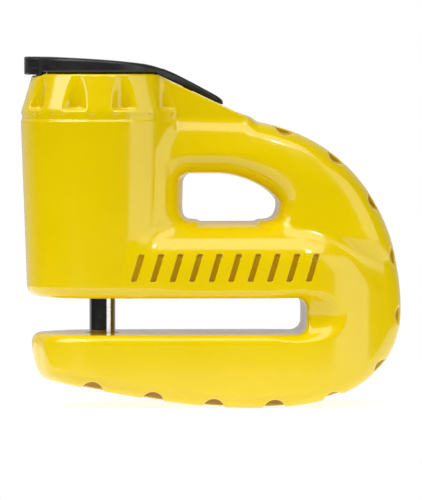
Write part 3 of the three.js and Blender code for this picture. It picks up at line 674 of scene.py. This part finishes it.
def cover_field(place):
    """The cover, with its lugs, the ring round the cylinder and the screws' holes and seats."""
    x, y, z = place.T
    radius = np.hypot(x - AXIS_X, y)
    crown = COVER_CROWN * (y / RIM_RADIUS) ** 2 * (z > RIM_Z + 1)
    shell = round_max(COVER_PROFILE(x, z + crown), COVER_PLAN(x, y), COVER_EDGE)
    lugs = np.maximum(lug_field(x, y, z, 0.15), COVER_PLAN(x, y))
    lugs = np.maximum(np.maximum(lugs, z - RIM_Z - 1), 4 - np.abs(y))
    shell = round_min(shell, np.maximum(lugs, HOUSING_RADIUS + 2 - radius), 0.2)
    ring = tube_field(radius, z, COVER_HOLE_RADIUS, BORE_RADIUS + 0.8, RIM_Z - 1.5, RIM_Z + 0.6, 0.1)
    shell = np.minimum(shell, ring)
    shell = round_max(shell, COVER_HOLE_RADIUS - radius, 0.3)
    for screw in SCREWS:
        shell = round_max(shell, -screw_rod(place, screw, SCREW_HOLE_RADIUS, ABOVE_SCREW, 9), 0.1)
        seat = screw_rod(place, screw, SCREW_SEAT_RADIUS, ABOVE_SCREW, SCREW_SEAT_DEPTH)
        shell = round_max(shell, -seat, 0.2)
    return shell


# ---- The lock cylinder ----

CHANNEL = (43.9, 46.7)
LATCH_HALF_WIDTH = 2.5
GUIDE_Z = 52.0
GUIDE_RADIUS = 1.2
GUIDE_REACH = (8.3, 15.3)
GUIDE_DEGREES = 135
GUIDE_DIRECTION = np.array([math.cos(math.radians(GUIDE_DEGREES)), math.sin(math.radians(GUIDE_DEGREES)), 0])
PIN_TRAVEL = 11.0
CROSS_PIN_Z = 40.6
CROSS_HOLE_RADIUS = 1.05
HOUSING_BORE = 7.0
NECK_Z = PLUG_HIGH[2] - 1.2
NECK_RADIUS = 5.9
CAVITY_RADIUS = 5.3
CAVITY_TOP = PLUG_HIGH[2] - 3.2
STACK_BOTTOM = PLUG_LOW[2] + 0.3
KEYWAY_HALF = (1.2, 3.6)
SHUTTER_POCKET = (PLUG_HIGH[2] - 2.4, PLUG_HIGH[2] - 1.5)
DISC_RADIUS = 5.0
DISC_THICKNESS = 1.0
SPACER_THICKNESS = 0.4
SPACER_HOLE_RADIUS = KEYWAY_HALF[1] + 0.2
NOTCH_HALF = 0.85
DISC_TURNS = (90, 36, 72, 18, 54, 36, 72)
DISC_PITCH = 1.8


def turned_place(place, degrees):
    """Coordinates turned back about the barrel's axis by an angle."""
    x, y, z = place.T
    angle = math.radians(degrees)
    run = (x - AXIS_X) * math.cos(angle) + y * math.sin(angle)
    across = y * math.cos(angle) - (x - AXIS_X) * math.sin(angle)
    return run, across, z


def guide_pin_field(place):
    """The dowel through the barrel's wall."""
    start, end = (np.array([AXIS_X, 0, GUIDE_Z]) + GUIDE_DIRECTION * reach for reach in GUIDE_REACH)
    return rod_field(place, start, end, GUIDE_RADIUS, 0.25)


def cross_hole(place):
    """The hole for the cross pin, through the housing and the locking pin."""
    return np.hypot(place[:, 0] - AXIS_X, place[:, 2] - CROSS_PIN_Z) - CROSS_HOLE_RADIUS


def housing_field(place):
    """The sliding housing, with its bores, the latch channel and the guide pin's groove."""
    x, y, z = place.T
    radius = np.hypot(x - AXIS_X, y)
    outside = disc_field(radius, z, HOUSING_RADIUS, HOUSING_LOW[2], HOUSING_HIGH[2], 0.5)
    bores = [
        disc_field(radius, z, HOUSING_BORE, CHANNEL[1], NECK_Z + 0.1, 0.1),
        disc_field(radius, z, HOUSING_BORE + 0.8, NECK_Z + 0.1, NECK_Z + 0.95, 0.1),
        disc_field(radius, z, HOUSING_BORE - 0.5, NECK_Z, HOUSING_HIGH[2] + 2, 0.1),
        disc_field(radius, z, 4.5, CHANNEL[0], CHANNEL[1] + 1, 0.1),
        disc_field(radius, z, HOUSING_BORE + 0.95, STACK_BOTTOM - 0.3, CAVITY_TOP, 0.1),
        disc_field(radius, z, PIN_RADIUS + RUNNING_GAP, HOUSING_LOW[2] - 2, PIN_HIGH[2] + RUNNING_GAP, 0.1),
    ]
    channel_centre = (AXIS_X, 0, sum(CHANNEL) / 2)
    channel_half = (LATCH_HALF_WIDTH + 0.3, 20, (CHANNEL[1] - CHANNEL[0]) / 2)
    bores.append(box_field((x, y, z), channel_centre, channel_half, 0.2))
    guide_low = GUIDE_Z - PIN_TRAVEL - GUIDE_RADIUS - 0.4
    guide_high = GUIDE_Z + GUIDE_RADIUS + 0.4
    guide_half = (2, 1.6, (guide_high - guide_low) / 2)
    guide_centre = (10, 0, (guide_low + guide_high) / 2)
    bores.append(box_field(turned_place(place, GUIDE_DEGREES), guide_centre, guide_half, 1.4))
    bores.append(cross_hole(place))
    return round_max(outside, -np.min(bores, axis=0), 0.2)


def pin_field(place):
    """The locking pin, with its cross hole."""
    radius = np.hypot(place[:, 0] - AXIS_X, place[:, 1])
    shank = disc_field(radius, place[:, 2], PIN_RADIUS, PIN_LOW[2], PIN_HIGH[2], 0.6)
    return round_max(shank, -cross_hole(place), 0.15)


def plug_field(place):
    """The plug: a skirt and a neck, hollow for the discs, with the keyway and the sidebar's slot."""
    x, y, z = place.T
    radius = np.hypot(x - AXIS_X, y)
    skirt = disc_field(radius, z, PLUG_RADIUS, PLUG_LOW[2], NECK_Z, 0.15)
    neck = disc_field(radius, z, NECK_RADIUS, NECK_Z - 2, PLUG_HIGH[2], 0.3)
    plug = np.minimum(skirt, neck)
    cavity = disc_field(radius, z, CAVITY_RADIUS, PLUG_LOW[2] - 2, CAVITY_TOP, 0.2)
    plug = round_max(plug, -cavity, 0.1)
    keyway = box_field((x - AXIS_X, y, z), (0, 0, PLUG_HIGH[2]), (*KEYWAY_HALF, 4), 0.3)
    plug = round_max(plug, -keyway, 0.25)
    pocket_z = sum(SHUTTER_POCKET) / 2
    pocket = box_field((x - AXIS_X, y, z), (1.6, 0, pocket_z), (3.6, 4.2, 0.45), 0.1)
    plug = np.maximum(plug, -np.maximum(pocket, radius - PLUG_RADIUS + 0.6))
    slot_low, slot_high = PLUG_LOW[2] - 1, CAVITY_TOP - 0.4
    slot_half = (1.75, 0.8, (slot_high - slot_low) / 2)
    slot = box_field((x - AXIS_X, y, z), (6.25, 0, (slot_low + slot_high) / 2), slot_half, 0.1)
    return round_max(plug, -slot, 0.08)


def notched_disc_field(bottom, thickness, notch_degrees, hole_radius=None):
    """A flat disc with a key's slot or a round hole, and a notch for the sidebar in its edge."""

    def field(place):
        x, y, z = place.T
        radius = np.hypot(x - AXIS_X, y)
        disc = disc_field(radius, z, DISC_RADIUS, bottom, bottom + thickness, 0.12)
        if hole_radius:
            disc = round_max(disc, hole_radius - radius, 0.08)
        else:
            key = box_field((x - AXIS_X, y), (0, 0), KEYWAY_HALF, 0.2)
            disc = round_max(disc, -key, 0.08)
        run, across, _ = turned_place(place, notch_degrees)
        notch = box_field((run, across), (DISC_RADIUS + 1, 0), (2, NOTCH_HALF), 0.25)
        return round_max(disc, -notch, 0.08)

    return field


def block_node_field(node, edge):
    """A rounded block that fills a CAD node's box."""
    low, high = node_box(node)

    def field(place):
        return box_field(place.T, (low + high) / 2, (high - low) / 2, edge)

    return field


def latch_field(node, side):
    """A latch bolt, with a round nose; side is -1 in front and 1 at the rear."""
    low, high = node_box(node)
    inner, half_length, half_height = 4.2, 5, 1.1

    def field(place):
        x, y, z = place.T
        centre = (AXIS_X, inner + half_length, sum(CHANNEL) / 2)
        bolt = box_field((x, y * side, z), centre, (LATCH_HALF_WIDTH, half_length, half_height), 0.15)
        return round_max(bolt, np.hypot(x - AXIS_X, y) - max(high[1], -low[1]), 0.3)

    return field


def cam_field(place):
    """The plate under the discs, with the blade that works the latch bolts."""
    x, y, z = place.T
    radius = np.hypot(x - AXIS_X, y)
    plate = disc_field(radius, z, PLUG_RADIUS - 0.2, CHANNEL[1] + 0.3, PLUG_LOW[2] - 0.2, 0.2)
    low, high = CHANNEL[0] + 0.4, CHANNEL[1] + 1
    blade = box_field((x, y, z), (AXIS_X, 0, (low + high) / 2), (1.2, 0.5, (high - low) / 2), 0.15)
    return round_min(plate, blade, 0.2)


def snap_ring_field(place):
    """The split ring that keeps the plug in the housing."""
    x, y, z = place.T
    radius = np.hypot(x - AXIS_X, y)
    low, high = node_box("plug_snap_ring")
    wire = tube_field(radius, z, NECK_RADIUS + 0.2, HOUSING_BORE + 0.6, low[2], high[2], 0.15)
    gap = box_field((x - AXIS_X, y), (-8, 0), (6, 1.5), 0.1)
    return round_max(wire, -gap, 0.12)


def seal_field(place):
    """The rubber ring, with the lip that wipes the housing."""
    x, y, z = place.T
    radius = np.hypot(x - AXIS_X, y)
    low, high = SEAL_LOW[2], SEAL_HIGH[2]
    seat = tube_field(radius, z, HOUSING_RADIUS + 0.5, BORE_RADIUS + 0.8, low, high, 0.15)
    lip_low, lip_high = (low + high) / 2 - 0.25, high - 0.25
    lip = tube_field(radius, z, HOUSING_RADIUS + 0.1, HOUSING_RADIUS + 0.7, lip_low, lip_high, 0.2)
    return round_min(seat, lip, 0.1)


def cross_pin_field(place):
    """The pin across the housing that holds the locking pin."""
    low, high = node_box("pin_cross_pin")
    middle = (low + high) / 2
    start, end = middle * (1, 0, 1) + (0, low[1], 0), middle * (1, 0, 1) + (0, high[1], 0)
    return rod_field(place, start, end, (high[0] - low[0]) / 2, 0.2)


SPRING_TURNS = 5
SPRING_COIL = 5.6
SPRING_WIRE = 0.55


def spring_field(place):
    """Round wire wound in a helix, with rounded ends."""
    x, y, z = place.T
    low, high = SPRING_LOW[2] + SPRING_WIRE, SPRING_HIGH[2] - SPRING_WIRE
    pitch = (high - low) / SPRING_TURNS
    share = np.mod(np.arctan2(y, x - AXIS_X) / (2 * math.pi), 1)
    turn = np.round((z - low) / pitch - share)
    along = np.clip(share + turn, 0, SPRING_TURNS)
    wire_x = AXIS_X + SPRING_COIL * np.cos(2 * math.pi * along)
    wire_y = SPRING_COIL * np.sin(2 * math.pi * along)
    wire_z = low + pitch * along
    return np.sqrt((x - wire_x) ** 2 + (y - wire_y) ** 2 + (z - wire_z) ** 2) - SPRING_WIRE


# ---- From a field to a mesh ----


def gradient(field, points, reach=0.02):
    """Slope of a field by central differences."""
    slopes = np.empty_like(points)
    for axis in range(3):
        offset = np.zeros(3)
        offset[axis] = reach
        slopes[:, axis] = (field(points + offset) - field(points - offset)) / (2 * reach)
    return slopes


def directions(field, points):
    """The way out of the surface at each point, one unit long."""
    slopes = gradient(field, points)
    return slopes / np.maximum(np.linalg.norm(slopes, axis=1), 1e-9)[:, None]


def settle(field, points, step, rounds=3):
    """Moves points onto the zero surface of a field."""
    for _ in range(rounds):
        slopes = gradient(field, points)
        size = np.maximum((slopes**2).sum(1), 0.05)
        move = slopes * (field(points) / size)[:, None]
        length = np.maximum(np.linalg.norm(move, axis=1), 1e-9)
        points = points - move * np.minimum(1, 0.5 * step / length)[:, None]
    return points


def sample(field, low, counts, step):
    """A field's values on a grid, one slab at a time."""
    values = np.empty(counts, np.float32)
    y = low[1] + step * np.arange(counts[1])
    z = low[2] + step * np.arange(counts[2])
    across, up = np.meshgrid(y, z, indexing="ij")
    for i in range(counts[0]):
        x = np.full(across.size, low[0] + step * i)
        slab = np.stack([x, across.ravel(), up.ravel()], 1)
        values[i] = field(slab).reshape(counts[1], counts[2])
    return values


CELL_CORNERS = [(i, j, k) for i in (0, 1) for j in (0, 1) for k in (0, 1)]
CELL_EDGES = [
    (a, b)
    for a in range(8)
    for b in range(a + 1, 8)
    if sum(abs(p - q) for p, q in zip(CELL_CORNERS[a], CELL_CORNERS[b])) == 1
]


def surface_net(values):
    """One point in each cell that the surface crosses, and one quad across each crossed grid edge."""
    shape = np.array(values.shape)
    inside = values < 0
    corner_inside = [
        inside[i : shape[0] - 1 + i, j : shape[1] - 1 + j, k : shape[2] - 1 + k] for i, j, k in CELL_CORNERS
    ]
    crossed = np.any(corner_inside, axis=0) & ~np.all(corner_inside, axis=0)
    cells = np.argwhere(crossed)
    number = np.full(shape - 1, -1)
    number[crossed] = np.arange(len(cells))
    corners = np.stack([values[tuple((cells + corner).T)] for corner in CELL_CORNERS], 1)
    total = np.zeros((len(cells), 3))
    hits = np.zeros(len(cells))
    for a, b in CELL_EDGES:
        hit = (corners[:, a] < 0) != (corners[:, b] < 0)
        gap = np.where(hit, corners[:, a] - corners[:, b], 1)
        share = np.where(hit, corners[:, a] / gap, 0)[:, None]
        start, end = np.array(CELL_CORNERS[a]), np.array(CELL_CORNERS[b])
        total += hit[:, None] * (start + share * (end - start))
        hits += hit
    points = cells + total / hits[:, None]
    quads = []
    for axis in range(3):
        ahead = np.eye(3, dtype=int)[axis]
        side, up = np.eye(3, dtype=int)[(axis + 1) % 3], np.eye(3, dtype=int)[(axis + 2) % 3]
        span = [slice(0, size - step) for size, step in zip(shape, ahead)]
        span_ahead = [slice(step, size) for size, step in zip(shape, ahead)]
        here, there = inside[tuple(span)], inside[tuple(span_ahead)]
        edges = np.argwhere(here != there)
        edges = edges[np.all(edges - side - up >= 0, axis=1) & np.all(edges < shape - 1, axis=1)]
        ring = [number[tuple((edges - offset).T)] for offset in (side + up, up, 0 * up, side)]
        ring = np.stack(ring, 1)
        outward = here[tuple(edges.T)]
        quads.append(np.where(outward[:, None], ring, ring[:, ::-1]))
    return points, np.concatenate(quads)


def refine(mesh_data, field, step, turn_degrees, keep=None):
    """Splits the faces over which the surface turns by more than an angle."""
    mesh = bmesh.new()
    mesh.from_mesh(mesh_data)
    points = np.array([vertex.co for vertex in mesh.verts])
    normals = directions(field, points)
    limit = math.cos(math.radians(turn_degrees))
    edges = set()
    for face in mesh.faces:
        corners = [vertex.index for vertex in face.verts]
        around = normals[corners]
        sharp = (around @ around.T).min() < limit
        if sharp and (keep is None or keep(points[corners[0]])):
            edges.update(face.edges)
    bmesh.ops.subdivide_edges(mesh, edges=list(edges), cuts=1, use_grid_fill=True)
    moved = settle(field, np.array([vertex.co for vertex in mesh.verts]), step / 2, 2)
    for vertex, place in zip(mesh.verts, moved):
        vertex.co = place
    mesh.to_mesh(mesh_data)
    mesh.free()


def mesh_from_field(name, field, low, high, step, refinements=()):
    """A smooth closed mesh, in metres, of a field's zero surface."""
    margin = 1.3 * step
    low = np.array(low, float) - margin
    counts = tuple(np.ceil((np.array(high) + margin - low) / step).astype(int) + 1)
    points, quads = surface_net(sample(field, low, counts, step))
    points = settle(field, low + points * step, step)
    data = bpy.data.meshes.new(name)
    data.from_pydata(points.tolist(), [], quads.tolist())
    for turn_degrees, keep in refinements:
        refine(data, field, step, turn_degrees, keep)
    points = np.empty(len(data.vertices) * 3)
    data.vertices.foreach_get("co", points)
    points = points.reshape(-1, 3)
    normals = directions(field, points)
    data.vertices.foreach_set("co", (points * MM).ravel())
    data.shade_smooth()
    data.update()
    data.normals_split_custom_set_from_vertices(normals.tolist())
    return data


# ---- Materials ----


def set_inputs(node, **values):
    """Sets a node's input sockets, with _ for each space in their names."""
    for name, value in values.items():
        node.inputs[name.replace("_", " ")].default_value = value


class Finish:
    """A node material round one Principled shader, with textures placed in object space."""

    def __init__(self, name, **sockets):
        self.material = bpy.data.materials.new(name)
        self.material.use_nodes = True
        self.nodes = self.material.node_tree.nodes
        self.links = self.material.node_tree.links
        self.shader = self.nodes["Principled BSDF"]
        set_inputs(self.shader, **sockets)
        self.place = self.nodes.new("ShaderNodeTexCoord").outputs["Object"]

    def stretched(self, scale):
        """Object coordinates, scaled separately along each axis."""
        mapping = self.nodes.new("ShaderNodeMapping")
        set_inputs(mapping, Scale=scale)
        self.links.new(self.place, mapping.inputs["Vector"])
        return mapping.outputs["Vector"]

    def noise(self, scale, detail=2.0, place=None):
        texture = self.nodes.new("ShaderNodeTexNoise")
        set_inputs(texture, Scale=scale, Detail=detail)
        self.links.new(place or self.place, texture.inputs["Vector"])
        return texture.outputs["Fac"]

    def ramp(self, value, low, high, start=0.35, end=0.65):
        """Two colours, spread over part of a value's range."""
        ramp = self.nodes.new("ShaderNodeValToRGB")
        for element, position, colour in zip(ramp.color_ramp.elements, (start, end), (low, high)):
            element.position = position
            element.color = (*colour, 1)
        self.links.new(value, ramp.inputs["Fac"])
        return ramp.outputs["Color"]

    def mix(self, share, first, second):
        mix = self.nodes.new("ShaderNodeMix")
        mix.data_type = "RGBA"
        for socket, value in (("Factor", share), ("A", first), ("B", second)):
            usable = [each for each in mix.inputs if each.name == socket and each.enabled]
            self.links.new(value, usable[0])
        return next(each for each in mix.outputs if each.enabled)

    def spread(self, value, low, high):
        """A value's range moved to a range of its own."""
        spread = self.nodes.new("ShaderNodeMapRange")
        set_inputs(spread, From_Min=0.3, From_Max=0.7, To_Min=low, To_Max=high)
        self.links.new(value, spread.inputs["Value"])
        return spread.outputs["Result"]

    def set(self, socket, value):
        self.links.new(value, self.shader.inputs[socket])

    def bump(self, height, strength, distance):
        bump = self.nodes.new("ShaderNodeBump")
        set_inputs(bump, Strength=strength, Distance=distance)
        self.links.new(height, bump.inputs["Height"])
        if self.shader.inputs["Normal"].is_linked:
            earlier = self.shader.inputs["Normal"].links[0].from_socket
            self.links.new(earlier, bump.inputs["Normal"])
        self.links.new(bump.outputs["Normal"], self.shader.inputs["Normal"])


def yellow_coating():
    """A thick, glossy vinyl coating with a little orange peel, and painted shade that darkens it to brown
    inside pockets and bars.
    """
    finish = Finish("yellow_coating", Roughness=0.16, IOR=1.5, Coat_Weight=0.25, Coat_Roughness=0.04)
    cloud = finish.noise(55, 3)
    outside = finish.ramp(cloud, (0.755, 0.55, 0.0), (0.785, 0.576, 0.0))
    # A darker brown: painted shade laid inside the pockets and bars.
    inside = finish.ramp(cloud, (0.46, 0.255, 0.0), (0.5, 0.285, 0.0))
    # The recess attribute says where the painted shade goes.
    recess = finish.nodes.new("ShaderNodeAttribute")
    recess.attribute_name = "recess"
    finish.set("Base Color", finish.mix(recess.outputs["Fac"], outside, inside))
    finish.set("Roughness", finish.spread(finish.noise(160, 2), 0.13, 0.2))
    finish.bump(finish.noise(330, 2), 0.08, 0.0002)
    finish.bump(finish.noise(1400, 2), 0.1, 0.00005)
    return finish.material


def black_plastic():
    """Moulded satin plastic with a fine spark-eroded grain."""
    finish = Finish("black_plastic", Roughness=0.42, IOR=1.5)
    finish.set("Base Color", finish.ramp(finish.noise(300, 3), (0.008, 0.007, 0.007), (0.014, 0.012, 0.012)))
    finish.set("Roughness", finish.spread(finish.noise(700, 3), 0.36, 0.48))
    finish.bump(finish.noise(3200, 3), 0.22, 0.00003)
    return finish.material


def metal(name, dark, light, roughness, grain, grain_strength):
    """A metal whose fine grain is drawn out by grain, one scale for each axis."""
    finish = Finish(name, Metallic=1.0, Roughness=roughness)
    streaks = finish.noise(1.0, 3, finish.stretched(grain))
    finish.set("Base Color", finish.ramp(streaks, dark, light))
    finish.set("Roughness", finish.spread(streaks, roughness * 0.75, roughness * 1.3))
    finish.bump(streaks, grain_strength, 0.00002)
    return finish.material


def black_rubber():
    """Dull moulded rubber."""
    finish = Finish("black_rubber", Roughness=0.75)
    finish.set("Base Color", finish.ramp(finish.noise(500, 3), (0.008, 0.008, 0.008), (0.02, 0.02, 0.02)))
    finish.bump(finish.noise(2500, 3), 0.3, 0.00004)
    return finish.material


def make_materials():
    """One material for each of the record's material slots."""
    lengthwise = (4000, 4000, 160)
    turned = (500, 500, 5000)
    even = (1200, 1200, 1200)
    metals = {
        "polished_steel": ((0.5, 0.49, 0.48), (0.62, 0.61, 0.6), 0.08, turned, 0.03),
        "brushed_steel": ((0.5, 0.5, 0.5), (0.66, 0.66, 0.66), 0.3, lengthwise, 0.3),
        "dark_steel": ((0.1, 0.1, 0.105), (0.2, 0.2, 0.205), 0.38, even, 0.25),
        "brass": ((0.62, 0.4, 0.13), (0.75, 0.52, 0.2), 0.3, even, 0.2),
    }
    materials = {name: metal(name, *look) for name, look in metals.items()}
    for make in (yellow_coating, black_plastic, black_rubber):
        materials[make.__name__] = make()
    return materials


MATERIALS = make_materials()
NODE_SLOTS = {part["node"]: part["material_slot"] for part in frame["record"]["subparts"]}

# ---- Pieces ----


def fine_piece(node, field, step, refinements=(), recess=None):
    """A smooth piece in place of a CAD node, with the painted shade of its recesses as a vertex attribute if
    it has one.
    """
    low, high = node_box(node)
    data = mesh_from_field(f"{node}_fine", field, low, high, step, refinements)
    # The recess attribute holds painted shade for the piece's hollows.
    if recess:
        points = np.array([vertex.co for vertex in data.vertices]) / MM
        shade = data.attributes.new("recess", "FLOAT", "POINT")
        shade.data.foreach_set("value", recess(points).astype(np.float32))
    piece = bpy.data.objects.new(f"{node}_fine", data)
    bpy.context.scene.collection.objects.link(piece)
    slot = NODE_SLOTS[node]
    data.materials.append(MATERIALS[slot])
    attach(piece, frame["nodes"][node]["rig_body"])
    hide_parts(node)
    return piece


def near_bars(point):
    """True in the row of bars on the front face."""
    along = abs(point[0] - BAR_MIDDLE[0]) < BAR_COUNT * BAR_PITCH / 2 + 1
    return along and abs(point[2] - BAR_MIDDLE[1]) < BAR_HEIGHT and point[1] < FRONT_FACE_Y


def outside_bore(point):
    """True away from the barrel's bore, whose faces nobody sees."""
    return math.hypot(point[0] - AXIS_X, point[1]) > BORE_RADIUS + 1.7


def make_casting():
    """The casting, with finer faces where it turns sharply."""
    step = 0.525
    refinements = ((26, outside_bore), (30, near_bars))
    fine_piece("body", casting_field, step, refinements, casting_painted_shade)


def make_cover():
    """The cover and its two screws."""
    step = 0.3
    fine_piece("top_cover", cover_field, step, ((30, None),))
    for screw in SCREWS:
        fine_piece(screw, screw_field(screw), 0.14)


def make_cylinder():
    """The lock cylinder's parts, apart from its discs: each node's field, step and refinements."""
    coarse = 1
    parts = {
        "cylinder_housing": (housing_field, 0.3 * coarse, ((35, None),)),
        "locking_pin": (pin_field, 0.22 * coarse),
        "guide_pin": (guide_pin_field, 0.2),
        "plug": (plug_field, 0.22 * coarse, ((35, None),)),
        "keyway_shutter": (block_node_field("keyway_shutter", 0.12), 0.18),
        "plug_snap_ring": (snap_ring_field, 0.12),
        "wiper_seal": (seal_field, 0.15 * coarse),
        "pin_cross_pin": (cross_pin_field, 0.16),
        "plug_cam": (cam_field, 0.2),
        "sidebar": (block_node_field("sidebar", 0.2), 0.18),
        "latch_front": (latch_field("latch_front", -1), 0.2),
        "latch_rear": (latch_field("latch_rear", 1), 0.2),
        "return_spring": (spring_field, 0.2 * coarse),
    }
    for node, choices in parts.items():
        fine_piece(node, *choices)


def make_disc_stack():
    """The coded discs, the spacers between them and the drill plate on top."""
    step = 0.22
    gap = 0.2
    for i, degrees in enumerate(DISC_TURNS):
        bottom = STACK_BOTTOM + i * DISC_PITCH
        disc = notched_disc_field(bottom, DISC_THICKNESS, degrees)
        fine_piece(f"detainer_disc_{i + 1}", disc, step)
        if i + 1 < len(DISC_TURNS):
            bottom += DISC_THICKNESS + gap
            spacer = notched_disc_field(bottom, SPACER_THICKNESS, 0, SPACER_HOLE_RADIUS)
            fine_piece(f"spacer_{i + 1}", spacer, 0.16)
    plate = notched_disc_field(CAVITY_TOP - gap - DISC_THICKNESS, DISC_THICKNESS, 0)
    fine_piece("drill_plate", plate, step)


make_casting()
make_cover()
make_cylinder()
make_disc_stack()

for node, shown in frame["nodes"].items():
    for material_slot in shown.material_slots:
        material_slot.material = MATERIALS[NODE_SLOTS[node]]

# ---- Floor, lights and camera ----

CENTRE = (CAD_BOUNDS[0] + CAD_BOUNDS[1]) / 2
FLOOR_SIZE = 0.3
LIGHT_DISTANCE = 1.0
CAMERA_DISTANCE = 1.1
CAMERA_AZIMUTH = -2.5
CAMERA_HEIGHT = 0.068
PICTURE_HEIGHT = 0.0961
PICTURE_CENTRE = Vector((0.0001, 0, 0.0298))


def make_floor():
    """Pale paper that glows a little, so that it stays white under the lock."""
    bpy.ops.mesh.primitive_plane_add(size=FLOOR_SIZE, location=(0, 0, BODY_LOW[2] * MM))
    floor = bpy.context.object
    floor.name = "floor"
    finish = Finish("floor_paper", Roughness=0.9)
    paper = finish.ramp(finish.noise(30, 2), (0.48, 0.48, 0.48), (0.5, 0.5, 0.5))
    finish.set("Base Color", paper)
    finish.set("Emission Color", paper)
    set_inputs(finish.shader, Emission_Strength=1.6)
    floor.data.materials.append(finish.material)


def softbox(name, azimuth, elevation, size, radiance):
    """A rectangular light that faces the lock; azimuth 0 is the camera's side, 90 is +X."""
    turn, lift = math.radians(azimuth), math.radians(elevation)
    direction = Vector((math.sin(turn) * math.cos(lift), -math.cos(turn) * math.cos(lift), math.sin(lift)))
    light = bpy.data.lights.new(name, "AREA")
    light.shape = "RECTANGLE"
    light.size, light.size_y = size
    light.energy = radiance * math.pi * size[0] * size[1]
    lamp = bpy.data.objects.new(name, light)
    lamp.location = CENTRE + direction * LIGHT_DISTANCE
    lamp.rotation_mode = "QUATERNION"
    lamp.rotation_quaternion = direction.to_track_quat("Z", "Y")
    bpy.context.scene.collection.objects.link(lamp)


def make_world():
    """White for the camera; for light, bright behind the lock and dimmer in front of it."""
    world = bpy.data.worlds.new("studio")
    bpy.context.scene.world = world
    world.use_nodes = True
    nodes, links = world.node_tree.nodes, world.node_tree.links
    direction = nodes.new("ShaderNodeTexCoord").outputs["Generated"]
    parts = nodes.new("ShaderNodeSeparateXYZ")
    links.new(direction, parts.inputs[0])
    fade = nodes.new("ShaderNodeMapRange")
    set_inputs(fade, From_Min=0.35, From_Max=0.85, To_Min=0.02, To_Max=0.55)
    links.new(parts.outputs["Y"], fade.inputs["Value"])
    lighting = nodes["Background"]
    links.new(fade.outputs["Result"], lighting.inputs["Strength"])
    seen = nodes.new("ShaderNodeBackground")
    for background in (lighting, seen):
        set_inputs(background, Color=(1, 1, 1, 1))
    mix = nodes.new("ShaderNodeMixShader")
    links.new(nodes.new("ShaderNodeLightPath").outputs["Is Camera Ray"], mix.inputs[0])
    links.new(lighting.outputs[0], mix.inputs[1])
    links.new(seen.outputs[0], mix.inputs[2])
    links.new(mix.outputs[0], nodes["World Output"].inputs["Surface"])


def make_camera():
    """A long lens, nearly level with the lock and square to its front face."""
    turn = math.radians(CAMERA_AZIMUTH)
    place = PICTURE_CENTRE + CAMERA_DISTANCE * Vector((math.sin(turn), -math.cos(turn), 0))
    place.z = CAMERA_HEIGHT
    data = bpy.data.cameras.new("camera")
    data.sensor_width = 36
    data.lens = data.sensor_width * CAMERA_DISTANCE / PICTURE_HEIGHT
    camera = bpy.data.objects.new("camera", data)
    camera.location = place
    camera.rotation_mode = "QUATERNION"
    camera.rotation_quaternion = (PICTURE_CENTRE - place).to_track_quat("-Z", "Y")
    bpy.context.scene.collection.objects.link(camera)
    bpy.context.scene.camera = camera


make_floor()
make_world()
softbox("key_right", 56, 14, (0.73, 0.9), 1.6)
softbox("top_left", -70, 42, (0.6, 0.8), 4.2)
softbox("top_front", 0, 65, (1.2, 0.6), 2.75)
softbox("spark_right", 22, 45, (0.05, 0.05), 110)
softbox("spark_left", -38, 42, (0.05, 0.05), 90)
make_camera()
bpy.context.scene.view_settings.view_transform = "Standard"
